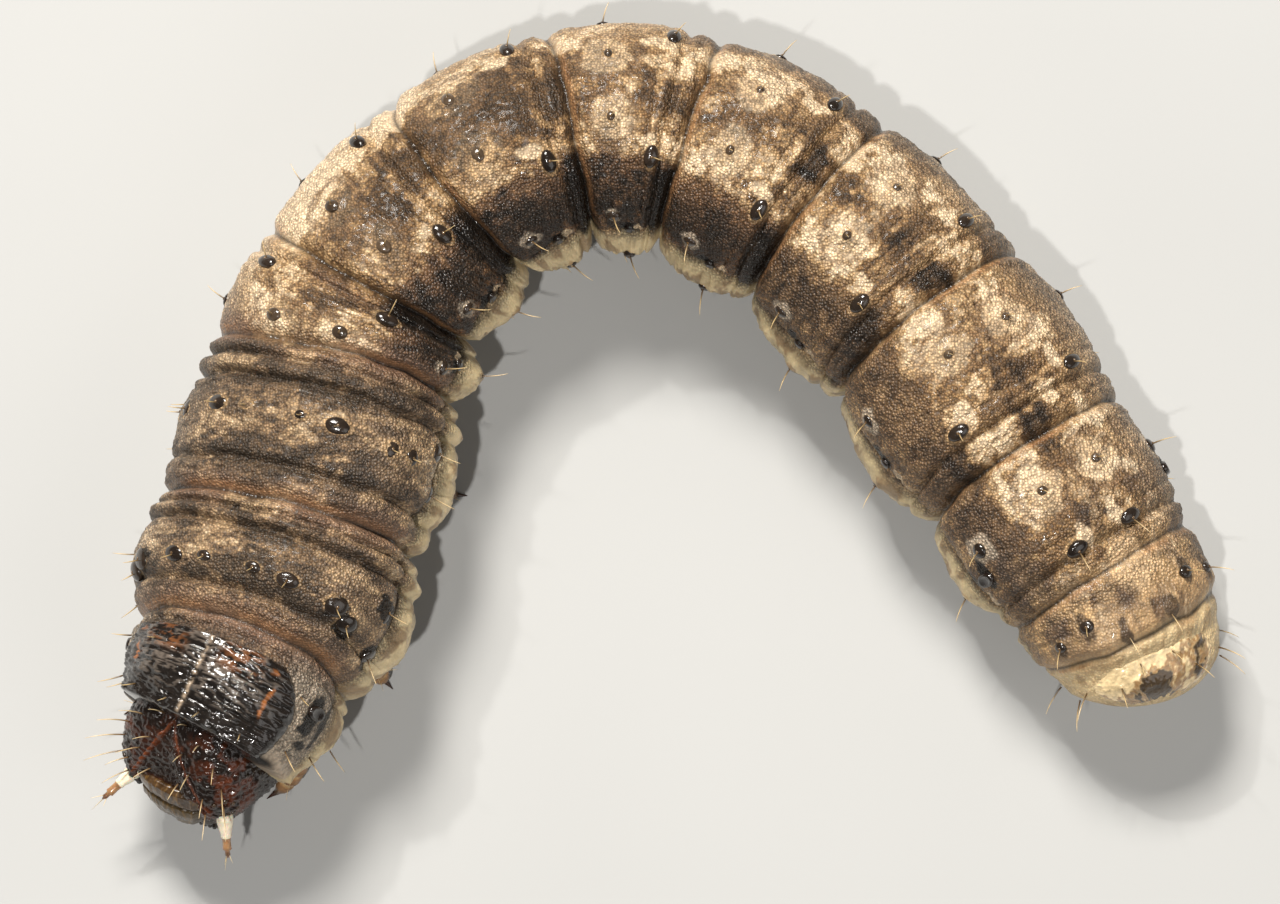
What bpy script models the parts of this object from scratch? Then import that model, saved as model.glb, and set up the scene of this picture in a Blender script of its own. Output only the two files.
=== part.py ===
"""Black cutworm larva, Agrotis ipsilon, last stage, life size, at rest on a flat floor.

The body lies in a half arch, bent to the animal's left and rolled a little to its right.
Tables and named sizes are in millimetres and degrees, and MM turns them into metres.
Angles round the body start at the middle of the back and are positive on the animal's left.
The path runs from the neck to the tail, so "forward" along it is towards the tail.
"""

from collections import namedtuple
from math import cos, pi, radians, sin

import bmesh
import bpy
import numpy as np

MM = 0.001
GAP = 0.3

# Driving sizes of the body, from the neck to the tail

Segment = namedtuple("Segment", "name length turn width height centre roll lean")

# Width, height, height of the centre over the floor and roll hold at the middle of a segment.
# Lean tips the front end of a segment back, and turn is the bend of the path within it.
SEGMENTS = (
    Segment("thorax_1", 2.2, 6.8, 5.3, 4.6, 3.1, 16, 0),
    Segment("thorax_2", 3.45, 7, 6.65, 5.3, 3.35, 18, 12),
    Segment("thorax_3", 4.1, -0.5, 6.6, 5.4, 3.4, 17, 3),
    Segment("abdomen_1", 2.35, -14.6, 6.2, 5.3, 3.35, 15, 0),
    Segment("abdomen_2", 3.4, -21.6, 5.7, 5.2, 3.3, 15, -11),
    Segment("abdomen_3", 3.05, -25, 5.4, 5.1, 3.25, 15, -14),
    Segment("abdomen_4", 3.05, -31.5, 5.4, 5.1, 3.25, 12, 0),
    Segment("abdomen_5", 3.7, -21.5, 5.6, 5.2, 3.25, 9, 0),
    Segment("abdomen_6", 4.05, -13.5, 5.8, 5.2, 3.25, 8, 0),
    Segment("abdomen_7", 4.15, -3.5, 6.1, 5.1, 3.2, 8, -4),
    Segment("abdomen_8", 3.4, -0.5, 5.6, 4.6, 2.95, 8, -2),
    Segment("abdomen_9", 1.45, -7, 4.8, 3.9, 2.6, 6, 4),
    Segment("abdomen_10", 1.95, -14, 3.9, 3.0, 2.2, 4, 17),
)
START = (-11.365, -7.757)
START_HEADING = 61.2
PATH_STEPS = 60

# Cross-section of the body
FULLNESS = 2.25
BACK_SHARE = 0.53
BELLY_SHARE = 0.46
GROOVE_ANGLE = 93
GROOVE_DEPTH = 0.16
GROOVE_SPREAD = 7
FLANK_ANGLE = 111
FLANK_RISE = 0.22
FLANK_SPREAD = 13
COLUMN_ANGLES = (0, 13, 26, 39, 52, 65, 78, 87, 93, 101, 112, 125, 142, 161)

# Folds between the segments and the lesser folds across each of them
FOLD_DEPTH = 0.24
FOLD_SPREAD = 0.3
MAIN_RISE = 0.1
NECK_DEPTH = 0.34
NECK_SPREAD = 0.8
OUTER_TRIM = 0.14
OUTER_FOLD_EASE = 0.7
OUTER_FLANK_EASE = 0.6
ABDOMEN_CREASES = ((0.82, 0.11, 0.12),)
THORAX_CREASES = ((0.2, 0.1, 0.14), (0.74, 0.12, 0.14), (0.88, 0.08, 0.1))
COLLAR_CREASES = ((0.84, 0.1, 0.12),)
RING_PLACES = (0, 0.07, 0.17, 0.34, 0.54, 0.7, 0.82, 0.9, 1)
TAIL_ROUNDING = 1.35
TAIL_RINGS = (0, 0.12, 0.3, 0.5, 0.68, 0.82, 0.92, 0.98)

# Small hard plates that carry the bristles: place along the segment, angle, radius, bristle length
PLATE_SIDES = 6
PLATE_RISE = 0.07
PLATE_SUNK = 0.16
ABDOMEN_PLATES = ((0.34, 18, 0.13, 0.45), (0.72, 36, 0.24, 0.6), (0.3, 72, 0.17, 0.7),
                  (0.58, 108, 0.16, 0.8))
SECOND_PLATES = ((0.38, 13, 0.14, 0.4), (0.36, 30, 0.19, 0.6), (0.31, 54, 0.19, 0.6),
                 (0.29, 64, 0.16, 0.5), (0.22, 88, 0.17, 0.9), (0.5, 80, 0.17, 0.8))
THIRD_PLATES = ((0.53, 14, 0.14, 0.4), (0.52, 31, 0.19, 0.6), (0.49, 56, 0.17, 0.6),
                (0.49, 67, 0.17, 0.5), (0.36, 90, 0.17, 0.9), (0.6, 83, 0.17, 0.8))
FIRST_BELLY_PLATES = ((0.2, 18, 0.13, 0.45), (0.72, 36, 0.24, 0.6), (0.3, 72, 0.17, 0.7),
                      (0.58, 108, 0.16, 0.8))
EIGHTH_PLATES = ((0.34, 18, 0.13, 0.5), (0.78, 19, 0.24, 0.8), (0.42, 64, 0.17, 0.8),
                 (0.58, 108, 0.16, 0.8))
NINTH_PLATES = ((0.8, 17, 0.2, 0.8), (0.52, 37, 0.2, 0.7), (0.62, 58, 0.15, 0.8))
PLATES_OF_SEGMENT = {0: (), 1: SECOND_PLATES, 2: THIRD_PLATES, 3: FIRST_BELLY_PLATES,
                     10: EIGHTH_PLATES, 11: NINTH_PLATES, 12: ()}
SPIRACLE = (0.56, 89, 0.15)

# Bristles: sizes, and how far they lean to the tail and curve down
BRISTLE_RADII = ((0, 0.04), (0.5, 0.03), (1, 0.014))
BRISTLE_SIDES = 3
BRISTLE_SUNK = 0.1
THORAX_LEAN = -0.3
ABDOMEN_LEAN = 0.2
BRISTLE_BOW = (0.1, -0.15)

# Bristles with no plate of their own on the first and the last segment: place, angle, length
COLLAR_BRISTLES = ((0.12, 12, 0.5), (0.12, 40, 0.5), (0.2, 70, 0.8), (0.3, 95, 0.9), (0.6, 30, 0.5),
                   (0.62, 58, 0.6), (0.5, 112, 0.8))
TAIL_BRISTLES = ((0.3, 14, 0.6), (0.55, 34, 0.8), (0.5, 62, 0.9), (0.62, 80, 0.9), (0.4, 100, 0.9))

# Raised shields over the back of the first and the last segment: from, to, side angle
NECK_SHIELD = (0.03, 0.8, 66)
TAIL_SHIELD = (0.16, 0.76, 58)
SHIELD_RISE = 0.1
SHIELD_SUNK = 0.35

# Head: centre before the neck, turn, tip and roll of the face, and half sizes of the capsule
HEAD_FORWARD = 0.45
HEAD_SIDE = -0.02
HEAD_CENTRE = 2.75
HEAD_HEADING = 42.3
HEAD_PITCH = 34.7
HEAD_ROLL = 27
HEAD_HALF_WIDTH = 1.9
HEAD_FACE = 1.2
HEAD_BACK = 2.1
HEAD_TOP = 1.95
HEAD_BOTTOM = 1.25
HEAD_FULLNESS = 2.3
HEAD_COLUMNS = 32
HEAD_ROWS = 16
LOBE_RISE = 0.07
FRONS_TOP = 1.55
FRONS_BASE = -0.4
FRONS_HALF_WIDTH = 0.85
FRONS_DEPTH = 0.06

# Mouth: a notch under the forehead, and the pieces that fill it, in the frame of the face
NOTCH_TOP = -0.2
NOTCH_HALF_WIDTH = 1.05
NOTCH_SLOPE = ((0.42, -0.2), (-0.35, -0.75), (-0.9, -2.2))
LABRUM_TOP = -0.5
LABRUM_BOTTOM = -1.5
LABRUM_HALF_WIDTH = 0.84
LABRUM_FACE = 1.25
LABRUM_SLOPE = 0.5
LABRUM_BULGE = 0.3
LABRUM_THICK = 0.32
MANDIBLE_CENTRE = (-0.3, 0.45, -1.66)
MANDIBLE_SIZE = (0.24, 0.32, 0.34)
MAXILLA_CENTRE = (-1.1, 0.0, -1.88)
MAXILLA_SIZE = (0.3, 0.75, 0.25)
PALP_REACH = 0.5

# Bristles of one side of the head: azimuth from the face, height angle, length
HEAD_BRISTLES = ((22, 60, 0.7), (41, 46, 0.8), (53, 29, 0.9), (32, 21, 0.7), (59, 11, 1.0),
                 (20, 4, 0.6), (61, -6, 1.0), (23, 38, 0.6))
HEAD_BRISTLE_LEAN = 0.4
ANTENNA_ROOT = {"left": (0.68, 1.5, -0.75), "right": (0.85, 1.35, -0.62)}
ANTENNA_WAY = {"left": (0.15, 0.3, -1.24), "right": (0.57, 0.3, -0.53)}
ANTENNA_LENGTH = 1.1
ANTENNA_RINGS = ((0, 0.25), (0.45, 0.24), (0.5, 0.13), (0.68, 0.12), (0.72, 0.09), (1, 0.05))
ANTENNA_SIDES = 8

# Limbs: thoracic legs, prolegs and anal prolegs
LIMB_SIDES = 8
Leg = namedtuple("Leg", "name segment place angle reach step thick")
LEG_RADII = (0.5, 0.46, 0.36, 0.3, 0.25, 0.2)
LEGS = (
    Leg("leg_1_left", 0, 0.42, 142, -0.3, -0.9, 0.9),
    Leg("leg_1_right", 0, 0.42, -122, 0.5, -0.5, 0.84),
    Leg("leg_2_left", 1, 0.42, 142, 0.6, -0.2, 1),
    Leg("leg_2_right", 1, 0.42, -116, 0.6, -0.2, 0.84),
    Leg("leg_3_left", 2, 0.55, 142, 0.95, 0.2, 1),
    Leg("leg_3_right", 2, 0.55, -116, 0.6, 0.2, 0.84),
)
PROLEG_SEGMENTS = ("abdomen_3", "abdomen_4", "abdomen_5", "abdomen_6")
PROLEG_PLACE = 0.52
PROLEG_ANGLE = {"left": 156, "right": 150}
PROLEG_RADII = (0.62, 0.6, 0.52, 0.56)
PROLEG_REACH = {"left": -0.2, "right": 0.1}
ANAL_PLACE = 0.4
ANAL_ANGLE = 138
ANAL_RADII = (0.66, 0.65, 0.58, 0.54)
ANAL_REACH = -0.1
ANAL_STEP = -0.1

COLOURS = {
    "flesh": ((0.30, 0.22, 0.14, 1), 0.5),
    "black_shell": ((0.02, 0.014, 0.01, 1), 0.25),
    "red_shell": ((0.12, 0.035, 0.015, 1), 0.3),
    "pale_skin": ((0.62, 0.54, 0.36, 1), 0.5),
}


def remove_old_objects():
    for old in list(bpy.data.objects):
        bpy.data.objects.remove(old, do_unlink=True)


def finish(name):
    """Material of one node, with the colour and the roughness of its kind."""
    colour, roughness = COLOURS[name]
    material = bpy.data.materials.new(name)
    material.use_nodes = True
    shader = material.node_tree.nodes["Principled BSDF"]
    shader.inputs["Base Color"].default_value = colour
    shader.inputs["Roughness"].default_value = roughness
    return material


def add_object(name, points, faces, kind):
    """One closed mesh object from points in millimetres."""
    mesh = bpy.data.meshes.new(name)
    mesh.from_pydata([tuple(MM * value for value in point) for point in points], [], faces)
    work = bmesh.new()
    work.from_mesh(mesh)
    bmesh.ops.recalc_face_normals(work, faces=work.faces)
    work.to_mesh(mesh)
    work.free()
    mesh.shade_smooth()
    mesh.set_sharp_from_angle(angle=radians(40))
    mesh.materials.append(finish(kind))
    node = bpy.data.objects.new(name, mesh)
    bpy.context.scene.collection.objects.link(node)
    return node


def join_pieces(node, pieces, solver="EXACT"):
    """Fuse closed pieces into a node with one union, and keep its largest closed surface."""
    group = bpy.data.collections.new(node.name + "_pieces")
    bpy.context.scene.collection.children.link(group)
    for piece in pieces:
        bpy.context.scene.collection.objects.unlink(piece)
        group.objects.link(piece)
    union = node.modifiers.new("join", "BOOLEAN")
    union.operation = "UNION"
    union.operand_type = "COLLECTION"
    union.collection = group
    union.solver = solver
    fused = bpy.data.meshes.new_from_object(node.evaluated_get(bpy.context.evaluated_depsgraph_get()))
    node.modifiers.remove(union)
    node.data = fused
    for piece in pieces:
        bpy.data.objects.remove(piece, do_unlink=True)
    bpy.data.collections.remove(group)
    keep_largest(fused)


def keep_largest(mesh):
    """Drop every loose shell but the one with the most faces."""
    work = bmesh.new()
    work.from_mesh(mesh)
    unseen = set(work.faces)
    shells = []
    while unseen:
        shell = {unseen.pop()}
        edge_of_shell = list(shell)
        while edge_of_shell:
            face = edge_of_shell.pop()
            for edge in face.edges:
                for other in edge.link_faces:
                    if other in unseen:
                        unseen.remove(other)
                        shell.add(other)
                        edge_of_shell.append(other)
        shells.append(shell)
    shells.sort(key=len)
    for shell in shells[:-1]:
        bmesh.ops.delete(work, geom=list(shell), context="FACES")
    work.to_mesh(mesh)
    work.free()


# Path of the body along the floor

LENGTHS = np.array([segment.length for segment in SEGMENTS])
FOLDS = np.concatenate(([0.0], np.cumsum(LENGTHS)))
MIDDLES = (FOLDS[:-1] + FOLDS[1:]) / 2
BODY_LENGTH = FOLDS[-1]


def walk_path():
    """Stations along the centre line, with the place and the heading at each."""
    stations, places, headings = [0.0], [START], [radians(START_HEADING)]
    for segment in SEGMENTS:
        step = segment.length / PATH_STEPS
        for _ in range(PATH_STEPS):
            heading = headings[-1] + radians(segment.turn) / PATH_STEPS
            x, y = places[-1]
            places.append((x + step * cos(heading), y + step * sin(heading)))
            headings.append(heading)
            stations.append(stations[-1] + step)
    return np.array(stations), np.array(places), np.array(headings)


STATIONS, PLACES, HEADINGS = walk_path()


def eased(station, knots, values):
    """Values between knots, joined by half cosines so that no crease shows."""
    values = np.asarray(values, float)
    place = np.interp(station, knots, np.arange(len(knots)))
    low = np.clip(np.floor(place).astype(int), 0, len(knots) - 2)
    ease = (1 - np.cos(pi * (place - low))) / 2
    return values[low] * (1 - ease) + values[low + 1] * ease


def column(field):
    return [getattr(segment, field) for segment in SEGMENTS]


def bell(distance, spread):
    return np.exp(-(distance / spread) ** 2)


def tail_taper(station):
    """Shrinks the last stretch of the body to a rounded end."""
    past = np.clip((station - (BODY_LENGTH - TAIL_ROUNDING)) / TAIL_ROUNDING, 0, 1)
    return np.sqrt(1 - past ** 2)


def relief(station, angle):
    """Height of the bulges and depth of the folds at a station and an angle in degrees.

    On the outer side of the arch the skin is stretched, so its folds and bulges are lower.
    """
    side = np.abs((angle + 180) % 360 - 180)
    index = np.clip(np.searchsorted(FOLDS, station, side="right") - 1, 0, len(SEGMENTS) - 1)
    within = (station - FOLDS[index]) / LENGTHS[index]
    flank = 0.7 + 0.3 * bell(side - 72, 30) - 0.4 * bell(np.maximum(135 - side, 0), 30)
    arch = np.clip((station - FOLDS[2]) / 2, 0, 1) * np.clip((FOLDS[-3] - station) / 2, 0, 1)
    outer = arch * np.clip(-np.sin(np.radians(angle)), 0, 1)
    eased_fold = 1 - OUTER_FOLD_EASE * outer
    height = MAIN_RISE * np.sin(pi * within) - NECK_DEPTH * bell(station, NECK_SPREAD)
    height = height - OUTER_TRIM * outer
    for fold in FOLDS[1:-1]:
        height = height - FOLD_DEPTH * flank * eased_fold * bell(station - fold, FOLD_SPREAD)
    for number, segment in enumerate(SEGMENTS):
        creases = ABDOMEN_CREASES
        if number == 0:
            creases = COLLAR_CREASES
        elif number < 3:
            creases = THORAX_CREASES
        elif number > 10:
            creases = ()
        for place, depth, spread in creases:
            crease = FOLDS[number] + place * segment.length
            height = height - depth * bell(station - crease, spread) * (index == number)
    fade = np.clip((FOLDS[-3] - station) / 2, 0, 1) * np.clip(station / 2, 0, 1)
    lobe = np.sin(pi * within) ** 0.6
    height = height - GROOVE_DEPTH * bell(side - GROOVE_ANGLE, GROOVE_SPREAD) * fade
    bulge = FLANK_RISE * (1 - OUTER_FLANK_EASE * outer)
    return height + bulge * bell(side - FLANK_ANGLE, FLANK_SPREAD) * fade * lobe


def surface(station, angle, lift=0.0):
    """Points of the skin at stations and angles, raised by a lift along the section."""
    station = np.asarray(station, float)
    angle = np.asarray(angle, float)
    turn = np.radians(angle)
    taper = tail_taper(station)
    half_width = eased(station, MIDDLES, column("width")) / 2 * taper
    height = eased(station, MIDDLES, column("height")) * taper
    rise = np.where(np.cos(turn) > 0, BACK_SHARE, BELLY_SHARE) * height
    side_part = np.abs(np.sin(turn)) / np.maximum(half_width, 1e-6)
    rise_part = np.abs(np.cos(turn)) / np.maximum(rise, 1e-6)
    radius = (side_part ** FULLNESS + rise_part ** FULLNESS) ** (-1 / FULLNESS)
    radius = radius + relief(station, angle) * taper + lift
    return section_point(station, radius * np.sin(turn), radius * np.cos(turn))


def section_point(station, left, up):
    """World points at offsets to the animal's left and up in the rolled, leaning section."""
    roll = np.radians(eased(station, MIDDLES, column("roll")))
    lean = np.radians(eased(station, FOLDS[:-1], column("lean")))
    centre = eased(station, MIDDLES, column("centre"))
    heading = np.interp(station, STATIONS, HEADINGS)
    across = left * np.cos(roll) - up * np.sin(roll)
    over = left * np.sin(roll) + up * np.cos(roll)
    back = over * np.sin(lean)
    x = np.interp(station, STATIONS, PLACES[:, 0]) + across * np.sin(heading) + back * np.cos(heading)
    y = np.interp(station, STATIONS, PLACES[:, 1]) - across * np.cos(heading) + back * np.sin(heading)
    return np.stack(np.broadcast_arrays(x, y, centre + over * np.cos(lean)), axis=-1)


def surface_normal(station, angle):
    """Unit vector out of the skin at one place."""
    step = 0.15
    along = surface(station + step, angle) - surface(station - step, angle)
    around = surface(station, angle + 4) - surface(station, angle - 4)
    normal = np.cross(around, along)
    normal = normal / np.linalg.norm(normal)
    outward = surface(station, angle, 1.0) - surface(station, angle)
    return normal if np.dot(normal, outward) > 0 else -normal


# Closed meshes from rings of points

def close_rings(rings):
    """Points and faces of a tube through rings of equal size, with flat ends."""
    count = len(rings[0])
    points = [tuple(point) for ring in rings for point in ring]
    faces = []
    for row in range(len(rings) - 1):
        for column_number in range(count):
            following = (column_number + 1) % count
            low, high = row * count, (row + 1) * count
            faces.append((low + column_number, low + following, high + following, high + column_number))
    faces.append(tuple(range(count)))
    faces.append(tuple(range((len(rings) - 1) * count, len(rings) * count)))
    return points, faces


def all_angles():
    right = [-angle for angle in reversed(COLUMN_ANGLES[1:])]
    return np.array(list(COLUMN_ANGLES) + [180] + right, float)


def skin_frame(station, angle):
    """A place on the skin, with unit vectors out of it and along it to the tail."""
    centre = surface(station, angle)
    normal = surface_normal(station, angle)
    along = surface(station + 0.1, angle) - centre
    along = along - normal * np.dot(along, normal)
    return centre, normal, along / np.linalg.norm(along)


def plate(number, place, angle, radius):
    """A low, flat-topped plate on the skin, rooted below it."""
    centre, normal, along = skin_frame(FOLDS[number] + place * SEGMENTS[number].length, angle)
    across = np.cross(normal, along)
    rings = []
    for height, share in ((-PLATE_SUNK, 1.0), (PLATE_RISE * 0.4, 1.0), (PLATE_RISE, 0.6)):
        ring = []
        for side in range(PLATE_SIDES):
            turn = 2 * pi * side / PLATE_SIDES
            reach = radius * share
            ring.append(centre + normal * height + reach * (along * cos(turn) + across * sin(turn)))
        rings.append(ring)
    points, faces = close_rings(rings)
    return add_object("plate", points, faces, "black_shell")


def shield(number, first, last, side_angle):
    """A raised plate over the back, rounded in plan, rooted below the skin."""
    rows, columns = 6, 8
    upper, lower = [], []
    for row in range(rows + 1):
        part = row / rows
        station = FOLDS[number] + (first + (last - first) * part) * SEGMENTS[number].length
        width = side_angle * (1 - 0.35 * abs(2 * part - 1) ** 2.5)
        angles = np.linspace(-width, width, columns + 1)
        upper.append(surface(np.full(columns + 1, station), angles, SHIELD_RISE))
        lower.append(surface(np.full(columns + 1, station), angles, -SHIELD_SUNK))
    points = [tuple(point) for sheet in (upper, lower) for line in sheet for point in line]
    stride, half = columns + 1, (rows + 1) * (columns + 1)
    faces = []
    for row in range(rows):
        for column_number in range(columns):
            corner = row * stride + column_number
            faces.append((corner, corner + 1, corner + stride + 1, corner + stride))
            faces.append(tuple(half + value for value in
                               (corner, corner + stride, corner + stride + 1, corner + 1)))
    rim = list(range(columns))
    rim += [row * stride + columns for row in range(rows)]
    rim += [rows * stride + column_number for column_number in range(columns, 0, -1)]
    rim += [row * stride for row in range(rows, 0, -1)]
    for place, corner in enumerate(rim):
        following = rim[(place + 1) % len(rim)]
        faces.append((corner, following, half + following, half + corner))
    return add_object("shield", points, faces, "black_shell")


def spine(root, way, bow, length):
    """A thin, bent, tapered bristle with three sides, rooted below a surface."""
    way = way / np.linalg.norm(way)
    first = np.cross(way, (0.31, 0.22, 0.93))
    first = first / np.linalg.norm(first)
    second = np.cross(way, first)
    turns = 2 * pi * np.arange(BRISTLE_SIDES) / BRISTLE_SIDES
    rings = []
    for share, radius in BRISTLE_RADII:
        middle = root + length * (way * share + bow * share ** 2)
        if share == 0:
            middle = root - way * BRISTLE_SUNK
        rings.append([middle + radius * (first * cos(turn) + second * sin(turn)) for turn in turns])
    return add_object("bristle", *close_rings(rings), "black_shell")


def body_bristle(number, place, angle, length):
    """A bristle on a segment, leaning to the head on the thorax and to the tail behind it."""
    root, normal, along = skin_frame(FOLDS[number] + place * SEGMENTS[number].length, angle)
    lean = THORAX_LEAN if number < 3 else ABDOMEN_LEAN
    bow = along * BRISTLE_BOW[0] + normal * BRISTLE_BOW[1]
    return spine(root + normal * PLATE_RISE, normal + along * lean, bow, length)


def plates_of(number):
    """Every small plate and bristle of one segment, on both sides."""
    listed = PLATES_OF_SEGMENT.get(number, ABDOMEN_PLATES)
    pieces = []
    for side in (1, -1):
        for place, angle, radius, length in listed:
            pieces.append(plate(number, place, side * angle, radius))
            pieces.append(body_bristle(number, place, side * angle, length))
        for place, angle, length in {0: COLLAR_BRISTLES, 12: TAIL_BRISTLES}.get(number, ()):
            pieces.append(body_bristle(number, place, side * angle, length))
    if number == 0 or 3 <= number <= 10:
        place, angle, radius = SPIRACLE
        pieces += [plate(number, place, side * angle, radius) for side in (1, -1)]
    return pieces


def body_segment(number):
    """One segment: rings across the body, closed flat at both ends, with its plates."""
    segment = SEGMENTS[number]
    last = number == len(SEGMENTS) - 1
    front = FOLDS[number] + (GAP / 2 if number else 0)
    rear = FOLDS[number + 1] - (0 if last else GAP / 2)
    angles = all_angles()
    places = TAIL_RINGS if last else RING_PLACES
    rings = [surface(np.full(len(angles), front + (rear - front) * place), angles) for place in places]
    points, faces = close_rings(rings)
    node = add_object(segment.name, points, faces, "flesh")
    pieces = plates_of(number)
    if number == 0:
        pieces.append(shield(number, *NECK_SHIELD))
    if last:
        pieces.append(shield(number, *TAIL_SHIELD))
    if pieces:
        join_pieces(node, pieces)
    return node


# Head, in a frame of its own: x out of the face, y to the animal's left, z to the crown

def head_axes():
    """Unit vectors of the face frame in the world."""
    heading, pitch, roll = radians(HEAD_HEADING), radians(HEAD_PITCH), radians(HEAD_ROLL)
    face = np.array((-cos(heading) * cos(pitch), -sin(heading) * cos(pitch), sin(pitch)))
    left = np.array((sin(heading), -cos(heading), 0.0))
    crown = np.cross(face, left)
    return face, left * cos(roll) + crown * sin(roll), crown * cos(roll) - left * sin(roll)


def head_centre():
    heading = radians(START_HEADING)
    neck = np.array((*START, HEAD_CENTRE))
    forward = np.array((-cos(heading), -sin(heading), 0.0))
    left = np.array((sin(heading), -cos(heading), 0.0))
    return neck + forward * HEAD_FORWARD + left * HEAD_SIDE


def from_head(points):
    """World places of points given in the face frame."""
    face, left, crown = head_axes()
    points = np.asarray(points, float)
    return head_centre() + points[..., :1] * face + points[..., 1:2] * left + points[..., 2:] * crown


def head_surface(azimuth, height):
    """Points of the capsule for an azimuth from the face and a height angle, in degrees."""
    azimuth, height = np.radians(azimuth), np.radians(height)
    x = np.cos(height) * np.cos(azimuth)
    y = np.cos(height) * np.sin(azimuth)
    z = np.sin(height)
    depth = np.where(x > 0, HEAD_FACE, HEAD_BACK)
    tall = np.where(z > 0, HEAD_TOP, HEAD_BOTTOM)
    total = (np.abs(x / depth) ** (HEAD_FULLNESS + 0.5) + np.abs(y / HEAD_HALF_WIDTH) ** HEAD_FULLNESS
             + np.abs(z / tall) ** HEAD_FULLNESS)
    radius = total ** (-1 / HEAD_FULLNESS)
    y_place, z_place = radius * y, radius * z
    lobes = LOBE_RISE * bell(np.abs(y_place) - 0.95, 0.55) * (z_place > -2)
    radius = radius * (1 + lobes) - frons_mask(y_place, z_place) * FRONS_DEPTH * (x > 0)
    return np.stack((radius * x, radius * y, radius * z), axis=-1)


def frons_mask(y, z):
    """One inside the triangle of the forehead and nought outside it."""
    down = np.clip((FRONS_TOP - z) / (FRONS_TOP - FRONS_BASE), 0, 1)
    return np.clip((down * FRONS_HALF_WIDTH - np.abs(y)) / 0.12, 0, 1) * (z > FRONS_BASE)


def clear_neck(points):
    """Hold points in front of the flat front end of the first segment, by the gap."""
    heading = radians(START_HEADING)
    forward = np.array((-cos(heading), -sin(heading), 0.0))
    depth = (points - np.array((*START, 0.0))) @ forward
    return points + np.maximum(GAP - depth, 0)[..., None] * forward


def head_capsule():
    azimuths = np.linspace(0, 360, HEAD_COLUMNS, endpoint=False)
    rings = []
    for height in np.linspace(-82, 82, HEAD_ROWS):
        rings.append(clear_neck(from_head(head_surface(azimuths, np.full(HEAD_COLUMNS, height)))))
    node = add_object("head", *close_rings(rings), "black_shell")
    cut_notch(node)
    bristles = [head_bristle(side * azimuth, height, length)
                for azimuth, height, length in HEAD_BRISTLES for side in (1, -1)]
    join_pieces(node, bristles, "MANIFOLD")


def head_bristle(azimuth, height, length):
    """A bristle on the capsule, leaning out from the face."""
    root = from_head(head_surface(azimuth, height))
    face, left, crown = head_axes()
    out = root - head_centre()
    way = out / np.linalg.norm(out) + HEAD_BRISTLE_LEAN * face
    return spine(root, way, -0.2 * crown, length)


def face_point(x, y, z):
    return from_head(np.array((x, y, z), float))


def cut_notch(node):
    """Cut the mouth's notch out of the capsule with a closed wedge."""
    profile = list(NOTCH_SLOPE) + [(3.0, -2.2), (3.0, NOTCH_TOP)]
    rings = [[face_point(x, side * NOTCH_HALF_WIDTH, z) for x, z in profile] for side in (-1, 1)]
    cutter = add_object("notch", *close_rings(rings), "black_shell")
    cut = node.modifiers.new("notch", "BOOLEAN")
    cut.operation = "DIFFERENCE"
    cut.object = cutter
    cut.solver = "MANIFOLD"
    node.data = bpy.data.meshes.new_from_object(node.evaluated_get(bpy.context.evaluated_depsgraph_get()))
    node.modifiers.remove(cut)
    bpy.data.objects.remove(cutter, do_unlink=True)
    keep_largest(node.data)


def labrum():
    """The upper lip and the plate over it, one curved plate with a rounded lower edge."""
    rows, columns = 6, 6
    rings = []
    for row in range(rows):
        part = row / (rows - 1)
        z = LABRUM_TOP + (LABRUM_BOTTOM - LABRUM_TOP) * part
        half = LABRUM_HALF_WIDTH * (1 - 0.1 * part - 0.4 * part ** 5)
        front, back = [], []
        for side in np.linspace(-1, 1, columns):
            x = LABRUM_FACE - LABRUM_SLOPE * part ** 1.5 - LABRUM_BULGE * side ** 2
            front.append(face_point(x, side * half, z))
            back.append(face_point(x - LABRUM_THICK, side * half, z))
        rings.append(front + back[::-1])
    return add_object("labrum", *close_rings(rings), "red_shell")


def blob(name, centre, size, kind, turn_rows=7, turn_columns=10):
    """A rounded body in the frame of the face."""
    rings = []
    for height in np.linspace(-80, 80, turn_rows):
        high, wide = sin(radians(height)), cos(radians(height))
        rings.append([face_point(centre[0] + size[0] * wide * cos(turn),
                                 centre[1] + size[1] * wide * sin(turn),
                                 centre[2] + size[2] * high)
                      for turn in 2 * pi * np.arange(turn_columns) / turn_columns])
    return add_object(name, *close_rings(rings), kind)


def mandibles():
    for side, sign in (("left", 1), ("right", -1)):
        centre = (MANDIBLE_CENTRE[0], sign * MANDIBLE_CENTRE[1], MANDIBLE_CENTRE[2])
        blob(f"mandible_{side}", centre, MANDIBLE_SIZE, "black_shell")


def straight_tube(name, start, way, length, rings_wanted, sides, kind):
    """A tapered tube along one direction, from shares of its length and radii."""
    way = np.asarray(way, float) / np.linalg.norm(way)
    first = np.cross(way, (0.3, 0.2, 1.0))
    first = first / np.linalg.norm(first)
    second = np.cross(way, first)
    turns = 2 * pi * np.arange(sides) / sides
    rings = [[start + way * share * length + radius * (first * cos(turn) + second * sin(turn))
              for turn in turns] for share, radius in rings_wanted]
    return add_object(name, *close_rings(rings), kind)


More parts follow.
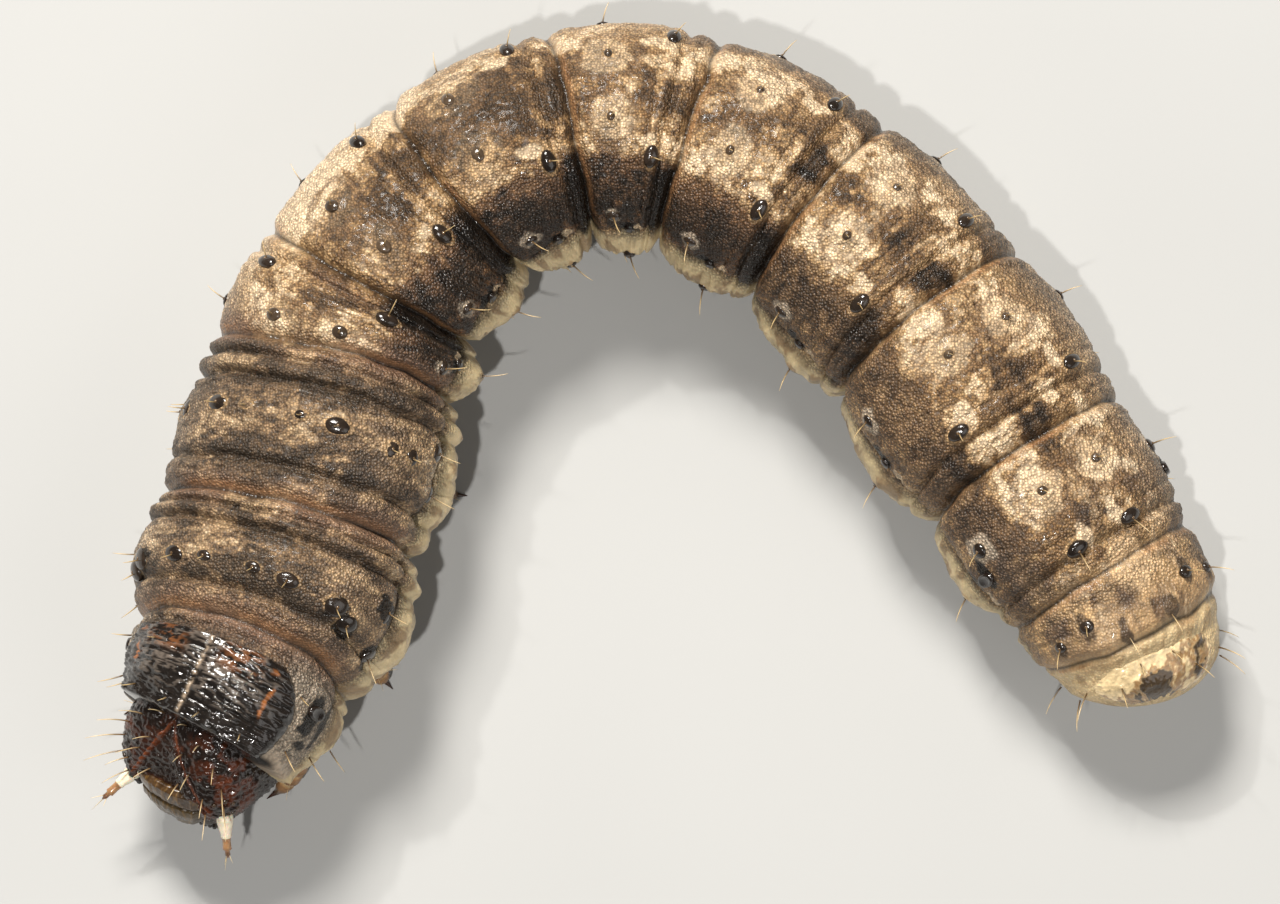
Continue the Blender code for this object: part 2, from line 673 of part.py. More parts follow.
def maxillae():
    """The lower mouthparts: one rounded base with two feelers and the spinning tube."""
    base = blob("maxillae_labium", MAXILLA_CENTRE, MAXILLA_SIZE, "red_shell")
    face, left, crown = head_axes()
    pieces = []
    for y, reach, radius in ((-0.5, PALP_REACH, 0.2), (0.5, PALP_REACH, 0.2), (0.0, 0.45, 0.16)):
        root = face_point(MAXILLA_CENTRE[0] + 0.05, y, MAXILLA_CENTRE[2])
        way = face * 0.35 - crown + left * y * 0.3
        pieces.append(straight_tube("palp", root, way, reach,
                                    ((0, radius), (0.6, radius * 0.8), (1, radius * 0.4)), 7, "red_shell"))
    join_pieces(base, pieces)


def antennae():
    face, left, crown = head_axes()
    for side, sign in (("left", 1), ("right", -1)):
        x, y, z = ANTENNA_WAY[side]
        way = face * x + left * sign * y + crown * z
        way = way / np.linalg.norm(way)
        x, y, z = ANTENNA_ROOT[side]
        root = face_point(x, sign * y, z) + way * GAP
        straight_tube(f"antenna_{side}", root, way, ANTENNA_LENGTH, ANTENNA_RINGS, ANTENNA_SIDES, "pale_skin")


# Limbs

def bend(start, out, end, share):
    """Point on the curve that leaves start along out and comes down on end."""
    corner = start + out
    return (1 - share) ** 2 * start + 2 * share * (1 - share) * corner + share ** 2 * end


def limb(name, start, out, end, radii, kind):
    """A bent, tapered limb whose last ring is a small flat on the floor."""
    rings = []
    count = len(radii)
    for number, radius in enumerate(radii):
        share = number / (count - 1)
        middle = bend(start, out, end, share)
        ahead = bend(start, out, end, min(share + 0.02, 1)) - bend(start, out, end, max(share - 0.02, 0))
        if number == 0:
            ahead = out
        if number == count - 1:
            ahead = np.array((0.0, 0.0, -1.0))
        ahead = ahead / np.linalg.norm(ahead)
        first = np.cross(ahead, (cos(radians(START_HEADING)), sin(radians(START_HEADING)), 0.3))
        first = first / np.linalg.norm(first)
        second = np.cross(ahead, first)
        turns = 2 * pi * np.arange(LIMB_SIDES) / LIMB_SIDES
        rings.append([middle + radius * (first * cos(turn) + second * sin(turn)) for turn in turns])
    points, faces = close_rings(rings)
    return add_object(name, points, faces, kind)


def body_limb(name, number, place, angle, reach, step, radii, kind):
    """A limb that grows from one place on a segment and stands on the floor."""
    station = FOLDS[number] + place * SEGMENTS[number].length
    normal = surface_normal(station, angle)
    start = surface(station, angle) + GAP * normal
    heading = np.interp(station, STATIONS, HEADINGS)
    side = 1 if angle > 0 else -1
    left = np.array((sin(heading), -cos(heading), 0.0))
    along = np.array((cos(heading), sin(heading), 0.0))
    end = start + side * reach * left + step * along
    end[2] = 0.0
    return limb(name, start, normal * 0.35 * start[2], end, radii, kind)


def thoracic_legs():
    for leg in LEGS:
        radii = [leg.thick * radius for radius in LEG_RADII]
        body_limb(leg.name, leg.segment, leg.place, leg.angle, leg.reach, leg.step, radii, "black_shell")


def prolegs():
    names = [segment.name for segment in SEGMENTS]
    for name in PROLEG_SEGMENTS:
        for side, sign in (("left", 1), ("right", -1)):
            body_limb(f"proleg_{name[-1]}_{side}", names.index(name), PROLEG_PLACE,
                      sign * PROLEG_ANGLE[side], PROLEG_REACH[side], 0.0, PROLEG_RADII, "pale_skin")
    for side, sign in (("left", 1), ("right", -1)):
        body_limb(f"proleg_anal_{side}", len(SEGMENTS) - 1, ANAL_PLACE, sign * ANAL_ANGLE,
                  ANAL_REACH, ANAL_STEP, ANAL_RADII, "pale_skin")


def main():
    remove_old_objects()
    for number in range(len(SEGMENTS)):
        body_segment(number)
    head_capsule()
    labrum()
    mandibles()
    maxillae()
    antennae()
    thoracic_legs()
    prolegs()


main()
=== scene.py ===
"""Looks of the black cutworm larva: one skin, its hard plates and bristles, the head and the legs.

Sizes are in millimetres and angles in degrees until a mesh is made. Angles round the body
start at the middle of the back and are positive on the animal's left, the inside of its bend.
The path of the body runs from the neck to the tail, as in the solids.
"""

from collections import namedtuple
from math import cos, pi, radians, sin

import bpy
import numpy as np
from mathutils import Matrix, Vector


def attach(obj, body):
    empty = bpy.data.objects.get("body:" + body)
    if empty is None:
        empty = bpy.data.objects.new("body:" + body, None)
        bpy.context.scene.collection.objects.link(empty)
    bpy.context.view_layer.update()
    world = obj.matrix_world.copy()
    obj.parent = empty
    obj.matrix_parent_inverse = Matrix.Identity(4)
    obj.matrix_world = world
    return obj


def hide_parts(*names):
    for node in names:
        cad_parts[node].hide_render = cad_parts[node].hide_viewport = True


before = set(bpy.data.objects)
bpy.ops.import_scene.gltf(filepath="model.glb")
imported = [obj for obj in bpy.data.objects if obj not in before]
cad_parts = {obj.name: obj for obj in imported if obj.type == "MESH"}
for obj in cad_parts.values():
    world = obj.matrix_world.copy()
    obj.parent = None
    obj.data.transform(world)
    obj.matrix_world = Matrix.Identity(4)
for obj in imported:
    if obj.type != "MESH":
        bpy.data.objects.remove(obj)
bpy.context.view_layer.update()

MM = 0.001
rng = np.random.default_rng(7)

# Driving sizes of the body, as in the solids

Segment = namedtuple("Segment", "name length turn width height centre roll lean")
SEGMENTS = (
    Segment("thorax_1", 2.2, 6.8, 5.3, 4.6, 3.1, 16, 0),
    Segment("thorax_2", 3.45, 7, 6.65, 5.3, 3.35, 18, 12),
    Segment("thorax_3", 4.1, -0.5, 6.6, 5.4, 3.4, 17, 3),
    Segment("abdomen_1", 2.35, -14.6, 6.2, 5.3, 3.35, 15, 0),
    Segment("abdomen_2", 3.4, -21.6, 5.7, 5.2, 3.3, 15, -11),
    Segment("abdomen_3", 3.05, -25, 5.4, 5.1, 3.25, 15, -14),
    Segment("abdomen_4", 3.05, -31.5, 5.4, 5.1, 3.25, 12, 0),
    Segment("abdomen_5", 3.7, -21.5, 5.6, 5.2, 3.25, 9, 0),
    Segment("abdomen_6", 4.05, -13.5, 5.8, 5.2, 3.25, 8, 0),
    Segment("abdomen_7", 4.15, -3.5, 6.1, 5.1, 3.2, 8, -4),
    Segment("abdomen_8", 3.4, -0.5, 5.6, 4.6, 2.95, 8, -2),
    Segment("abdomen_9", 1.45, -7, 4.8, 3.9, 2.6, 6, 4),
    Segment("abdomen_10", 1.95, -14, 3.9, 3.0, 2.2, 4, 17),
)
LAST_SEGMENT = len(SEGMENTS) - 1
START = (-11.365, -7.757)
START_HEADING = 61.2
PATH_STEPS = 60
NECK_TUCK = 0.12

# Cross-section and main folds, as in the solids
FULLNESS = 2.25
BACK_SHARE = 0.53
BELLY_SHARE = 0.46
GROOVE_ANGLE = 93
GROOVE_DEPTH = 0.16
GROOVE_SPREAD = 7
FLANK_ANGLE = 111
FLANK_RISE = 0.22
FLANK_SPREAD = 13
FOLD_DEPTH = 0.24
FOLD_SPREAD = 0.3
MAIN_RISE = 0.1
NECK_DEPTH = 0.34
NECK_SPREAD = 0.8
OUTER_TRIM = 0.14
OUTER_FOLD_EASE = 0.7
OUTER_FLANK_EASE = 0.6
ABDOMEN_CREASES = ((0.82, 0.11, 0.12),)
THORAX_CREASES = ((0.2, 0.1, 0.14), (0.74, 0.12, 0.14), (0.88, 0.08, 0.1))
COLLAR_CREASES = ((0.84, 0.1, 0.12),)
TAIL_ROUNDING = 1.35

# Fine folds: place along a segment, depth, spread in millimetres, widest angle
FINE_ABDOMEN = ((0.5, 0.02, 0.07, 85), (0.69, 0.045, 0.07, 100), (0.82, 0.05, 0.06, 100),
                (0.91, 0.035, 0.05, 95))
FINE_THORAX = ((0.11, 0.04, 0.06, 95), (0.2, 0.11, 0.09, 105), (0.65, 0.04, 0.06, 95),
               (0.74, 0.13, 0.09, 105), (0.88, 0.11, 0.08, 105))
FINE_NINTH = ((0.5, 0.03, 0.06, 90),)
TAIL_FOLD_FILLS = (0.17, 0.26)
THORAX_ROLLS = ((0.1, 0.05, 0.2), (0.47, 0.05, 0.7), (0.81, 0.07, 0.2), (0.95, 0.05, 0.15))
FINE_COLLAR = ((0.84, 0.06, 0.05, 110), (0.92, 0.03, 0.05, 110))
SHARP_FOLD_DEPTH = 0.12
SHARP_FOLD_SPREAD = 0.08
CRACK_ANGLE = 91
CRESCENT_ANGLE = 87

# Plates that carry the bristles: place, angle, half length along, half width around, bristle length
Plate = namedtuple("Plate", "place angle along around bristle")
ABDOMEN_PLATES = (Plate(0.34, 18, 0.1, 0.12, 0.45), Plate(0.74, 36, 0.17, 0.27, 0.6),
                  Plate(0.32, 72, 0.16, 0.13, 0.7), Plate(0.58, 108, 0.14, 0.15, 0.8),
                  Plate(0.45, 124, 0.1, 0.1, 0.5))
SECOND_PLATES = (Plate(0.38, 13, 0.11, 0.17, 0.4), Plate(0.36, 30, 0.16, 0.23, 0.6),
                 Plate(0.33, 54, 0.22, 0.24, 0.6), Plate(0.26, 62, 0.2, 0.22, 0.5),
                 Plate(0.22, 88, 0.2, 0.2, 0.9), Plate(0.5, 80, 0.24, 0.14, 0.8))
THIRD_PLATES = (Plate(0.53, 14, 0.11, 0.15, 0.4), Plate(0.52, 31, 0.17, 0.25, 0.6),
                Plate(0.49, 56, 0.19, 0.16, 0.6), Plate(0.49, 67, 0.18, 0.15, 0.5),
                Plate(0.36, 90, 0.18, 0.17, 0.9), Plate(0.6, 83, 0.18, 0.2, 0.8))
FIRST_PLATES = (Plate(0.2, 18, 0.1, 0.12, 0.45),) + ABDOMEN_PLATES[1:]
EIGHTH_PLATES = (Plate(0.34, 18, 0.11, 0.12, 0.5), Plate(0.78, 19, 0.2, 0.27, 0.8),
                 Plate(0.42, 64, 0.18, 0.18, 0.8), Plate(0.58, 108, 0.14, 0.15, 0.8))
NINTH_PLATES = (Plate(0.8, 17, 0.13, 0.2, 0.8), Plate(0.52, 37, 0.15, 0.18, 0.7),
                Plate(0.62, 58, 0.13, 0.15, 0.8))
PLATES_OF_SEGMENT = {0: (), 1: SECOND_PLATES, 2: THIRD_PLATES, 3: FIRST_PLATES,
                     10: EIGHTH_PLATES, 11: NINTH_PLATES, 12: ()}

# Spiracles: the segments that have them, and place, angle, half length around and half width along
SPIRACLE_SEGMENTS = (0, 3, 4, 5, 6, 7, 8, 9, 10)
LARGE_SPIRACLE_SEGMENTS = (0, 10)
SPIRACLE = (0.56, 86, 0.21, 0.13)
LARGE_SPIRACLE = (0.6, 74, 0.27, 0.16)
SPIRACLE_SIDES = 24
SPIRACLE_RINGS = ((1.2, -0.12), (1.15, 0.03), (1.0, 0.08), (0.75, 0.07), (0.5, 0.035), (0.1, 0.03))

# Bristles and the plates under them: how far the plates are enlarged, how far the bristles lean to
# the tail and bow, and the bristles of the collar, the tail and the head
BRISTLE_THICK = 0.022
PATCH_SIZE = 0.003
PLATE_RISE = 0.07
THORAX_PLATE_GROWTH = 1.3
PLATE_GROWTH = 1.1
SMALL_PLATE_GROWTH = 1.7
THORAX_LEAN = -0.3
ABDOMEN_LEAN = 0.2
BRISTLE_BOW = (0.1, -0.15)
COLLAR_BRISTLES = ((0.12, 12, 0.5), (0.12, 40, 0.5), (0.2, 70, 0.8), (0.3, 95, 0.9), (0.6, 30, 0.5),
                   (0.62, 58, 0.6), (0.5, 112, 0.8))
TAIL_BRISTLES = ((0.3, 14, 0.6), (0.55, 34, 0.8), (0.5, 62, 0.9), (0.62, 80, 0.9), (0.4, 100, 0.9))
HEAD_BRISTLES = ((22, 60, 0.7), (41, 46, 0.8), (53, 29, 0.9), (32, 21, 0.7), (59, 11, 1.0),
                 (20, 4, 0.6), (61, -6, 1.0), (23, 38, 0.6), (45, 0, 0.6), (48, -16, 0.7))
HEAD_BRISTLE_LEAN = 0.4

# Dark streaks on the collar: place, angle, half length along and half width around
COLLAR_STREAKS = ((0.42, 70, 0.09, 0.2), (0.3, 78, 0.1, 0.26), (0.36, 88, 0.08, 0.14))

# Shields: first and last place along the segment, and widest angle
NECK_SHIELD = (-0.09, 0.78, 64)
TAIL_SHIELD = (0.16, 0.9, 58)
SHIELD_RISE = 0.14
SHIELD_ROWS = 90
SHIELD_COLUMNS = 150

# Head, as in the solids
HEAD_FORWARD = 0.45
HEAD_SIDE = -0.02
HEAD_CENTRE = 2.75
HEAD_HEADING = 42.3
HEAD_PITCH = 34.7
HEAD_ROLL = 27
HEAD_HALF_WIDTH = 1.9
HEAD_FACE = 1.2
HEAD_BACK = 2.1
HEAD_TOP = 1.95
HEAD_BOTTOM = 1.25
HEAD_FULLNESS = 2.3
LOBE_RISE = 0.07
FRONS_TOP = 1.55
FRONS_BASE = -0.4
FRONS_HALF_WIDTH = 0.85
FRONS_DEPTH = 0.06
FACE_SHIFT = 0.13
FACE_WIDTH = 1.12
NOTCH_TOP = -0.2
NOTCH_HALF_WIDTH = 1.05
NOTCH_SLOPE = ((0.42, -0.2), (-0.35, -0.75), (-0.9, -2.2))
LABRUM_TOP = -0.5
LABRUM_BOTTOM = -1.5
LABRUM_HALF_WIDTH = 0.84
LABRUM_FACE = 1.25
LABRUM_SLOPE = 0.5
LABRUM_BULGE = 0.3
LABRUM_THICK = 0.32
LIP_FORWARD = 0.14
LIP_RISE = 0.36
LIP_RIDGE = 0.05
LIP_ROWS = 60
LIP_COLUMNS = 70
CLYPEUS_BROWN = (0.06, 0.029, 0.009)
LIP_BROWN = (0.07, 0.042, 0.012)
MANDIBLE_CENTRE = (-0.08, 0.42, -1.42)
MANDIBLE_SIZE = (0.44, 0.4, 0.56)
MAXILLA_CENTRE = (-0.95, 0.0, -1.66)
MAXILLA_SIZE = (0.5, 0.8, 0.42)
MOUTH_CENTRE = (-0.62, 0.0, -1.1)
MOUTH_SIZE = (0.6, 0.95, 0.7)
ANTENNA_ROOT = {"left": (0.68, 1.5, -0.75), "right": (0.9, 1.25, -0.62)}
ANTENNA_WAY = {"left": (0.15, 0.3, -1.24), "right": (0.57, 0.3, -0.53)}
ANTENNA_LENGTH = 1.1
FEELER_SLIM = 0.86
FEELER_SIDES = 20

# Rings of a feeler, as shares of its length with their radii: soft base, brown joints, tip
FEELER_RINGS = ((-0.1, 0.26), (0.1, 0.24), (0.3, 0.19), (0.42, 0.15), (0.47, 0.16),
                (0.5, 0.13), (0.6, 0.12), (0.72, 0.125), (0.78, 0.13), (0.8, 0.08),
                (0.88, 0.075), (0.93, 0.08), (0.95, 0.05), (1.0, 0.02))
FEELER_COLOURS = [(0.75, 0.66, 0.5)] * 5 + [(0.3, 0.16, 0.07)] * 5 + [(0.12, 0.06, 0.03)] * 4

# Limbs, as in the solids
Leg = namedtuple("Leg", "name segment place angle reach step thick")
LEG_RINGS = 44
LEG_SIDES = 24
LEG_JOINTS = ((0.3, 0.025), (0.52, 0.022), (0.74, 0.02))
LEG_BULGES = ((0.24, 0.04), (0.46, 0.04), (0.68, 0.04))
LEG_BRISTLES = ((14, 0.4), (20, 2.2), (24, 4.0), (30, 1.2), (33, 3.1), (36, 5.2))
CLAW_RINGS = 12
CLAW_SIDES = 10
LEG_AMBER = (0.22, 0.11, 0.04)
LEG_PALE = (0.5, 0.38, 0.2)
LEG_DARK = (0.06, 0.03, 0.012)
LEG_RADII = (0.5, 0.46, 0.36, 0.3, 0.25, 0.2)
LEGS = (
    Leg("leg_1_left", 0, 0.42, 142, -0.3, -0.9, 0.9),
    Leg("leg_1_right", 0, 0.42, -122, 0.5, -0.5, 0.84),
    Leg("leg_2_left", 1, 0.42, 142, 0.6, -0.2, 1),
    Leg("leg_2_right", 1, 0.42, -116, 0.6, -0.2, 0.84),
    Leg("leg_3_left", 2, 0.55, 142, 0.95, 0.2, 1),
    Leg("leg_3_right", 2, 0.55, -116, 0.6, 0.2, 0.84),
)
Foot = namedtuple("Foot", "segment place angle radius reach stride")
PROLEG_SEGMENTS = (5, 6, 7, 8)
PROLEG_PLACE = 0.52
PROLEG_ANGLE = {1: 156, -1: 150}
PROLEG_RADIUS = 0.58
PROLEG_REACH = {1: -0.2, -1: 0.1}
ANAL_PLACE = 0.4
ANAL_ANGLE = 138
ANAL_RADIUS = 0.6
ANAL_REACH = -0.1
ANAL_STEP = -0.1

# Hooks on the soles of the false legs, with their turns in degrees
HOOK_COUNT = 15
HOOK_FIRST_TURN = -75
HOOK_TURN = 10.7
HOOK_RINGS = 8
HOOK_SIDES = 8
HOOK_COLOUR = (0.12, 0.04, 0.015)

# Camera: the photograph's view, from above and a little from the animal's open side
CAMERA_TARGET = (-0.635, -0.517, 2.9)
CAMERA_DISTANCE = 150.0
CAMERA_ELEVATION = 79
CAMERA_VIEW_WIDTH = 32.0
SENSOR_WIDTH = 36.0

# Half the width of the floor, in metres
FLOOR_REACH = 0.6

# Grid of the skin: its step, its grains, the radius it is counted at, the radius that turns angles
# into lengths on it, and the gaps at its ends
SKIN_STEP = 0.038
GRAIN_PITCH = 0.09
GRID_RADIUS = 2.9
DRAWN_RADIUS = 2.8
SKIN_END_GAPS = (0.002, 0.004)

# Colours, linear
CREAM = (0.68, 0.51, 0.325)
TAN = (0.38, 0.242, 0.118)
BROWN = (0.155, 0.092, 0.047)
DARK = (0.042, 0.027, 0.017)
BLACK = (0.007, 0.0055, 0.0045)
GREY_BROWN = (0.25, 0.202, 0.15)
OUTER_PALE = (0.66, 0.52, 0.38)
BELLY = (0.6, 0.475, 0.275)
MEMBRANE = (0.34, 0.17, 0.075)
INNER_BROWN = (0.125, 0.06, 0.027)
TAIL_CREAM = (0.62, 0.47, 0.26)
ROLL_PINK = (0.33, 0.19, 0.12)
# Painted shade on the front of the neck, behind the head
NECK_FRONT_SHADE = (0.05, 0.034, 0.023)
TAIL_STAIN = (0.3, 0.19, 0.09)
TAIL_MOTTLE = (0.09, 0.064, 0.048)
SADDLE = (0.56, 0.38, 0.21)
SHIELD_BLACK = (0.009, 0.0065, 0.005)

# Lightness across the back, by the angle from its middle
TONE_ANGLES = (0, 2, 5, 9, 13, 18, 33, 41, 50, 62, 72, 80, 88, 93)
TONE_LEVELS = (0.56, 0.54, 0.42, 0.52, 0.6, 0.67, 0.62, 0.4, 0.26, 0.25, 0.34, 0.45, 0.5, 0.5)

# Ragged marks: colour, strength, half length along, half width around, raggedness, full and gone
Mark = namedtuple("Mark", "colour strength along around ragged full gone")
CREAM_PATCH = Mark(CREAM, 0.85, 0.34, 0.2, 1.4, 0.7, 1.0)
TAIL_BLOT = Mark(DARK, 0.85, 0.26, 0.26, 1.2, 0.7, 1.05)
THORAX_BLOT = Mark(BLACK, 0.95, 0.3, 0.34, 1.6, 0.8, 0.95)
SPIRACLE_POCKET = Mark(BLACK, 0.95, 0.42, 0.27, 1.2, 0.8, 1.05)
CRESCENT = Mark(BLACK, 0.95, 0.5, 0.26, 1, 0.8, 1.05)
CRESCENT_PATCH = Mark(CREAM, 0.9, 0.22, 0.2, 1, 0.75, 1.0)
COLLAR_STREAK = Mark(BLACK, 0.95, 0.1, 0.2, 1.2, 0.8, 1.0)


# Noise

# Factors that scatter the numbers of neighbouring cells
SCATTER = [np.uint32(factor) for factor in (374761393, 668265263, 1274126177, 1103515245)]
SEED_SCATTER = 974634777
FULL_WORD = 0xffffffff


def hashed(cells, seed):
    """A number from 0 to 1 for each whole-number cell."""
    mixed = np.uint32(seed * SEED_SCATTER & FULL_WORD)
    for axis in range(3):
        mixed = mixed + cells[..., axis].astype(np.uint32) * SCATTER[axis]
    mixed = (mixed ^ (mixed >> np.uint32(13))) * SCATTER[2]
    mixed = (mixed ^ (mixed >> np.uint32(16))) * SCATTER[3]
    return (mixed ^ (mixed >> np.uint32(15))) / FULL_WORD


def noise(points, seed):
    """Smooth noise from 0 to 1 with features one unit wide."""
    low = np.floor(points).astype(np.int64)
    part = points - low
    part = part * part * (3 - 2 * part)
    total = 0
    for corner in np.ndindex(2, 2, 2):
        shares = [part[..., axis] if corner[axis] else 1 - part[..., axis] for axis in range(3)]
        total = total + shares[0] * shares[1] * shares[2] * hashed(low + np.array(corner), seed)
    return total


def layered(points, seed, octaves=4, gain=0.55):
    """Several octaves of noise, from 0 to 1."""
    total, weight, size = 0, 0, 1.0
    for octave in range(octaves):
        total = total + size * noise(points * 2.03 ** octave, seed + octave)
        weight += size
        size *= gain
    return total / weight


def grains(points, seed):
    """Distance to the nearest of scattered seeds."""
    cell = np.floor(points).astype(np.int64)
    nearest = np.full(points.shape[:-1], 9.0)
    for offset in np.ndindex(3, 3, 3):
        other = cell + np.array(offset) - 1
        spot = other + np.stack([hashed(other, seed + axis) for axis in range(3)], axis=-1)
        nearest = np.minimum(nearest, np.sqrt(((spot - points) ** 2).sum(axis=-1)))
    return nearest


def paving(along, around, count, seed):
    """Distance to the nearest seed over a tube, and its own number, with a whole count around."""
    low_along, low_around = np.floor(along).astype(np.int64), np.floor(around).astype(np.int64)
    nearest = np.full(along.shape, 9.0)
    owner = np.zeros(along.shape)
    for step_along, step_around in np.ndindex(3, 3):
        row, lane = low_along + step_along - 1, low_around + step_around - 1
        cell = np.stack((row, lane % count, np.zeros_like(row)), axis=-1)
        spot_along = row + 0.1 + 0.8 * hashed(cell, seed)
        spot_around = lane + 0.1 + 0.8 * hashed(cell, seed + 1)
        distance = np.hypot(spot_along - along, spot_around - around)
        closer = distance < nearest
        nearest = np.where(closer, distance, nearest)
        owner = np.where(closer, hashed(cell, seed + 2), owner)
    return nearest, owner


def bell(distance, spread):
    return np.exp(-(distance / spread) ** 2)


def step(value, low, high):
    """A smooth step from 0 to 1 between two values."""
    part = np.clip((value - low) / (high - low), 0, 1)
    return part * part * (3 - 2 * part)


def band(value, low, high, soft):
    """One between two values and nought outside them, with soft edges."""
    return step(value, low - soft, low + soft) * (1 - step(value, high - soft, high + soft))


# Path and surface of the body

LENGTHS = np.array([segment.length for segment in SEGMENTS])
FOLDS = np.concatenate(([0.0], np.cumsum(LENGTHS)))
MIDDLES = (FOLDS[:-1] + FOLDS[1:]) / 2
BODY_LENGTH = FOLDS[-1]


def walk_path():
    """Stations along the centre line, with the place and the heading at each."""
    heading = radians(START_HEADING)
    before = (START[0] - cos(heading), START[1] - sin(heading))
    stations, places, headings = [-1.0, 0.0], [before, START], [heading, heading]
    for segment in SEGMENTS:
        stride = segment.length / PATH_STEPS
        for _ in range(PATH_STEPS):
            heading = headings[-1] + radians(segment.turn) / PATH_STEPS
            x, y = places[-1]
            places.append((x + stride * cos(heading), y + stride * sin(heading)))
            headings.append(heading)
            stations.append(stations[-1] + stride)
    return np.array(stations), np.array(places), np.array(headings)


STATIONS, PLACES, HEADINGS = walk_path()


def eased(station, knots, values):
    """Values between knots, joined by half cosines so that no crease shows."""
    values = np.asarray(values, float)
    place = np.interp(station, knots, np.arange(len(knots)))
    low = np.clip(np.floor(place).astype(int), 0, len(knots) - 2)
    ease = (1 - np.cos(pi * (place - low))) / 2
    return values[low] * (1 - ease) + values[low + 1] * ease


def column(field):
    return [getattr(segment, field) for segment in SEGMENTS]


def end_taper(station):
    """Shrinks the tucked-in neck and the last stretch of the body to rounded ends."""
    past = np.clip((station - (BODY_LENGTH - TAIL_ROUNDING)) / TAIL_ROUNDING, 0, 1)
    before = np.clip(-station / NECK_TUCK, 0, 1)
    return np.sqrt(1 - past ** 2) * np.sqrt(1 - before ** 2)


def segment_at(station):
    """Number of the segment and the place within it, from 0 to 1."""
    index = np.clip(np.searchsorted(FOLDS, station, side="right") - 1, 0, len(SEGMENTS) - 1)
    return index, np.clip((station - FOLDS[index]) / LENGTHS[index], 0, 1)


def station_of(number, place):
    """Station of a place along a segment."""
    return FOLDS[number] + place * LENGTHS[number]


def level_ways(station):
    """Unit vectors level with the floor: to the animal's left, and on towards its tail."""
    heading = np.interp(station, STATIONS, HEADINGS)
    return np.array((sin(heading), -cos(heading), 0.0)), np.array((cos(heading), sin(heading), 0.0))


def creases_of(number):
    """Creases that the solids have too, by segment."""
    if number == 0:
        return COLLAR_CREASES
    if number < 3:
        return THORAX_CREASES
    return ABDOMEN_CREASES if number < 11 else ()


def relief(station, angle):
    """Main bulges and folds, the same as in the solids."""
    side = np.abs((angle + 180) % 360 - 180)
    index, within = segment_at(station)
    flank = 0.7 + 0.3 * bell(side - 72, 30) - 0.4 * bell(np.maximum(135 - side, 0), 30)
    arch = np.clip((station - FOLDS[2]) / 2, 0, 1) * np.clip((FOLDS[-3] - station) / 2, 0, 1)
    outer = arch * np.clip(-np.sin(np.radians(angle)), 0, 1)
    height = MAIN_RISE * np.sin(pi * within) - NECK_DEPTH * bell(np.maximum(station, 0), NECK_SPREAD)
    height = height - OUTER_TRIM * outer
    fold_depth = FOLD_DEPTH * flank * (1 - OUTER_FOLD_EASE * outer)
    for fold in FOLDS[1:-1]:
        height = height - fold_depth * bell(station - fold, FOLD_SPREAD)
    for number in range(len(SEGMENTS)):
        for place, depth, spread in creases_of(number):
            crease = station_of(number, place)
            height = height - depth * bell(station - crease, spread) * (index == number)
    fade = np.clip((FOLDS[-3] - station) / 2, 0, 1) * np.clip(station / 2, 0, 1)
    lobe = np.sin(pi * within) ** 0.6
    height = height - GROOVE_DEPTH * bell(side - GROOVE_ANGLE, GROOVE_SPREAD) * fade
    bulge = FLANK_RISE * (1 - OUTER_FLANK_EASE * outer)
    return height + bulge * bell(side - FLANK_ANGLE, FLANK_SPREAD) * fade * lobe


def surface(station, angle, lift=0.0):
    """Points of the skin at stations and angles, raised by a lift along the section."""
    station = np.asarray(station, float)
    angle = np.asarray(angle, float)
    turn = np.radians(angle)
    taper = end_taper(station)
    half_width = eased(station, MIDDLES, column("width")) / 2 * taper
    height = eased(station, MIDDLES, column("height")) * taper
    rise = np.where(np.cos(turn) > 0, BACK_SHARE, BELLY_SHARE) * height
    side_part = np.abs(np.sin(turn)) / np.maximum(half_width, 1e-6)
    rise_part = np.abs(np.cos(turn)) / np.maximum(rise, 1e-6)
    radius = (side_part ** FULLNESS + rise_part ** FULLNESS) ** (-1 / FULLNESS)
    radius = radius + (relief(station, angle) + lift) * taper
    return section_point(station, radius * np.sin(turn), radius * np.cos(turn))


def section_point(station, left, up):
    """World points at offsets to the animal's left and up in the rolled, leaning section."""
    roll = np.radians(eased(station, MIDDLES, column("roll")))
    lean = np.radians(eased(station, FOLDS[:-1], column("lean")))
    centre = eased(station, MIDDLES, column("centre"))
    heading = np.interp(station, STATIONS, HEADINGS)
    across = left * np.cos(roll) - up * np.sin(roll)
    over = left * np.sin(roll) + up * np.cos(roll)
    back = over * np.sin(lean)
    x = np.interp(station, STATIONS, PLACES[:, 0]) + across * np.sin(heading) + back * np.cos(heading)
    y = np.interp(station, STATIONS, PLACES[:, 1]) - across * np.cos(heading) + back * np.sin(heading)
    return np.stack(np.broadcast_arrays(x, y, centre + over * np.cos(lean)), axis=-1)


def skin_frame(station, angle):
    """Unit vectors at one place of the skin: along to the tail, around, and out."""
    along = surface(station + 0.1, angle) - surface(station - 0.1, angle)
    around = surface(station, angle + 3) - surface(station, angle - 3)
    out = np.cross(around, along)
    out = out / np.linalg.norm(out)
    if np.dot(out, surface(station, angle, 1.0) - surface(station, angle)) < 0:
        out = -out
    along = along / np.linalg.norm(along)
    return along, np.cross(out, along), out


# Meshes

def strip_faces(rows, columns, wrapped):
    """Quads between the rows of a grid of points."""
    last = columns if wrapped else columns - 1
    row = np.arange(rows - 1)[:, None] * columns
    here = np.arange(last)[None, :]
    following = (here + 1) % columns
    return np.stack((row + here, row + following, row + columns + following, row + columns + here),
                    axis=-1).reshape(-1, 4)


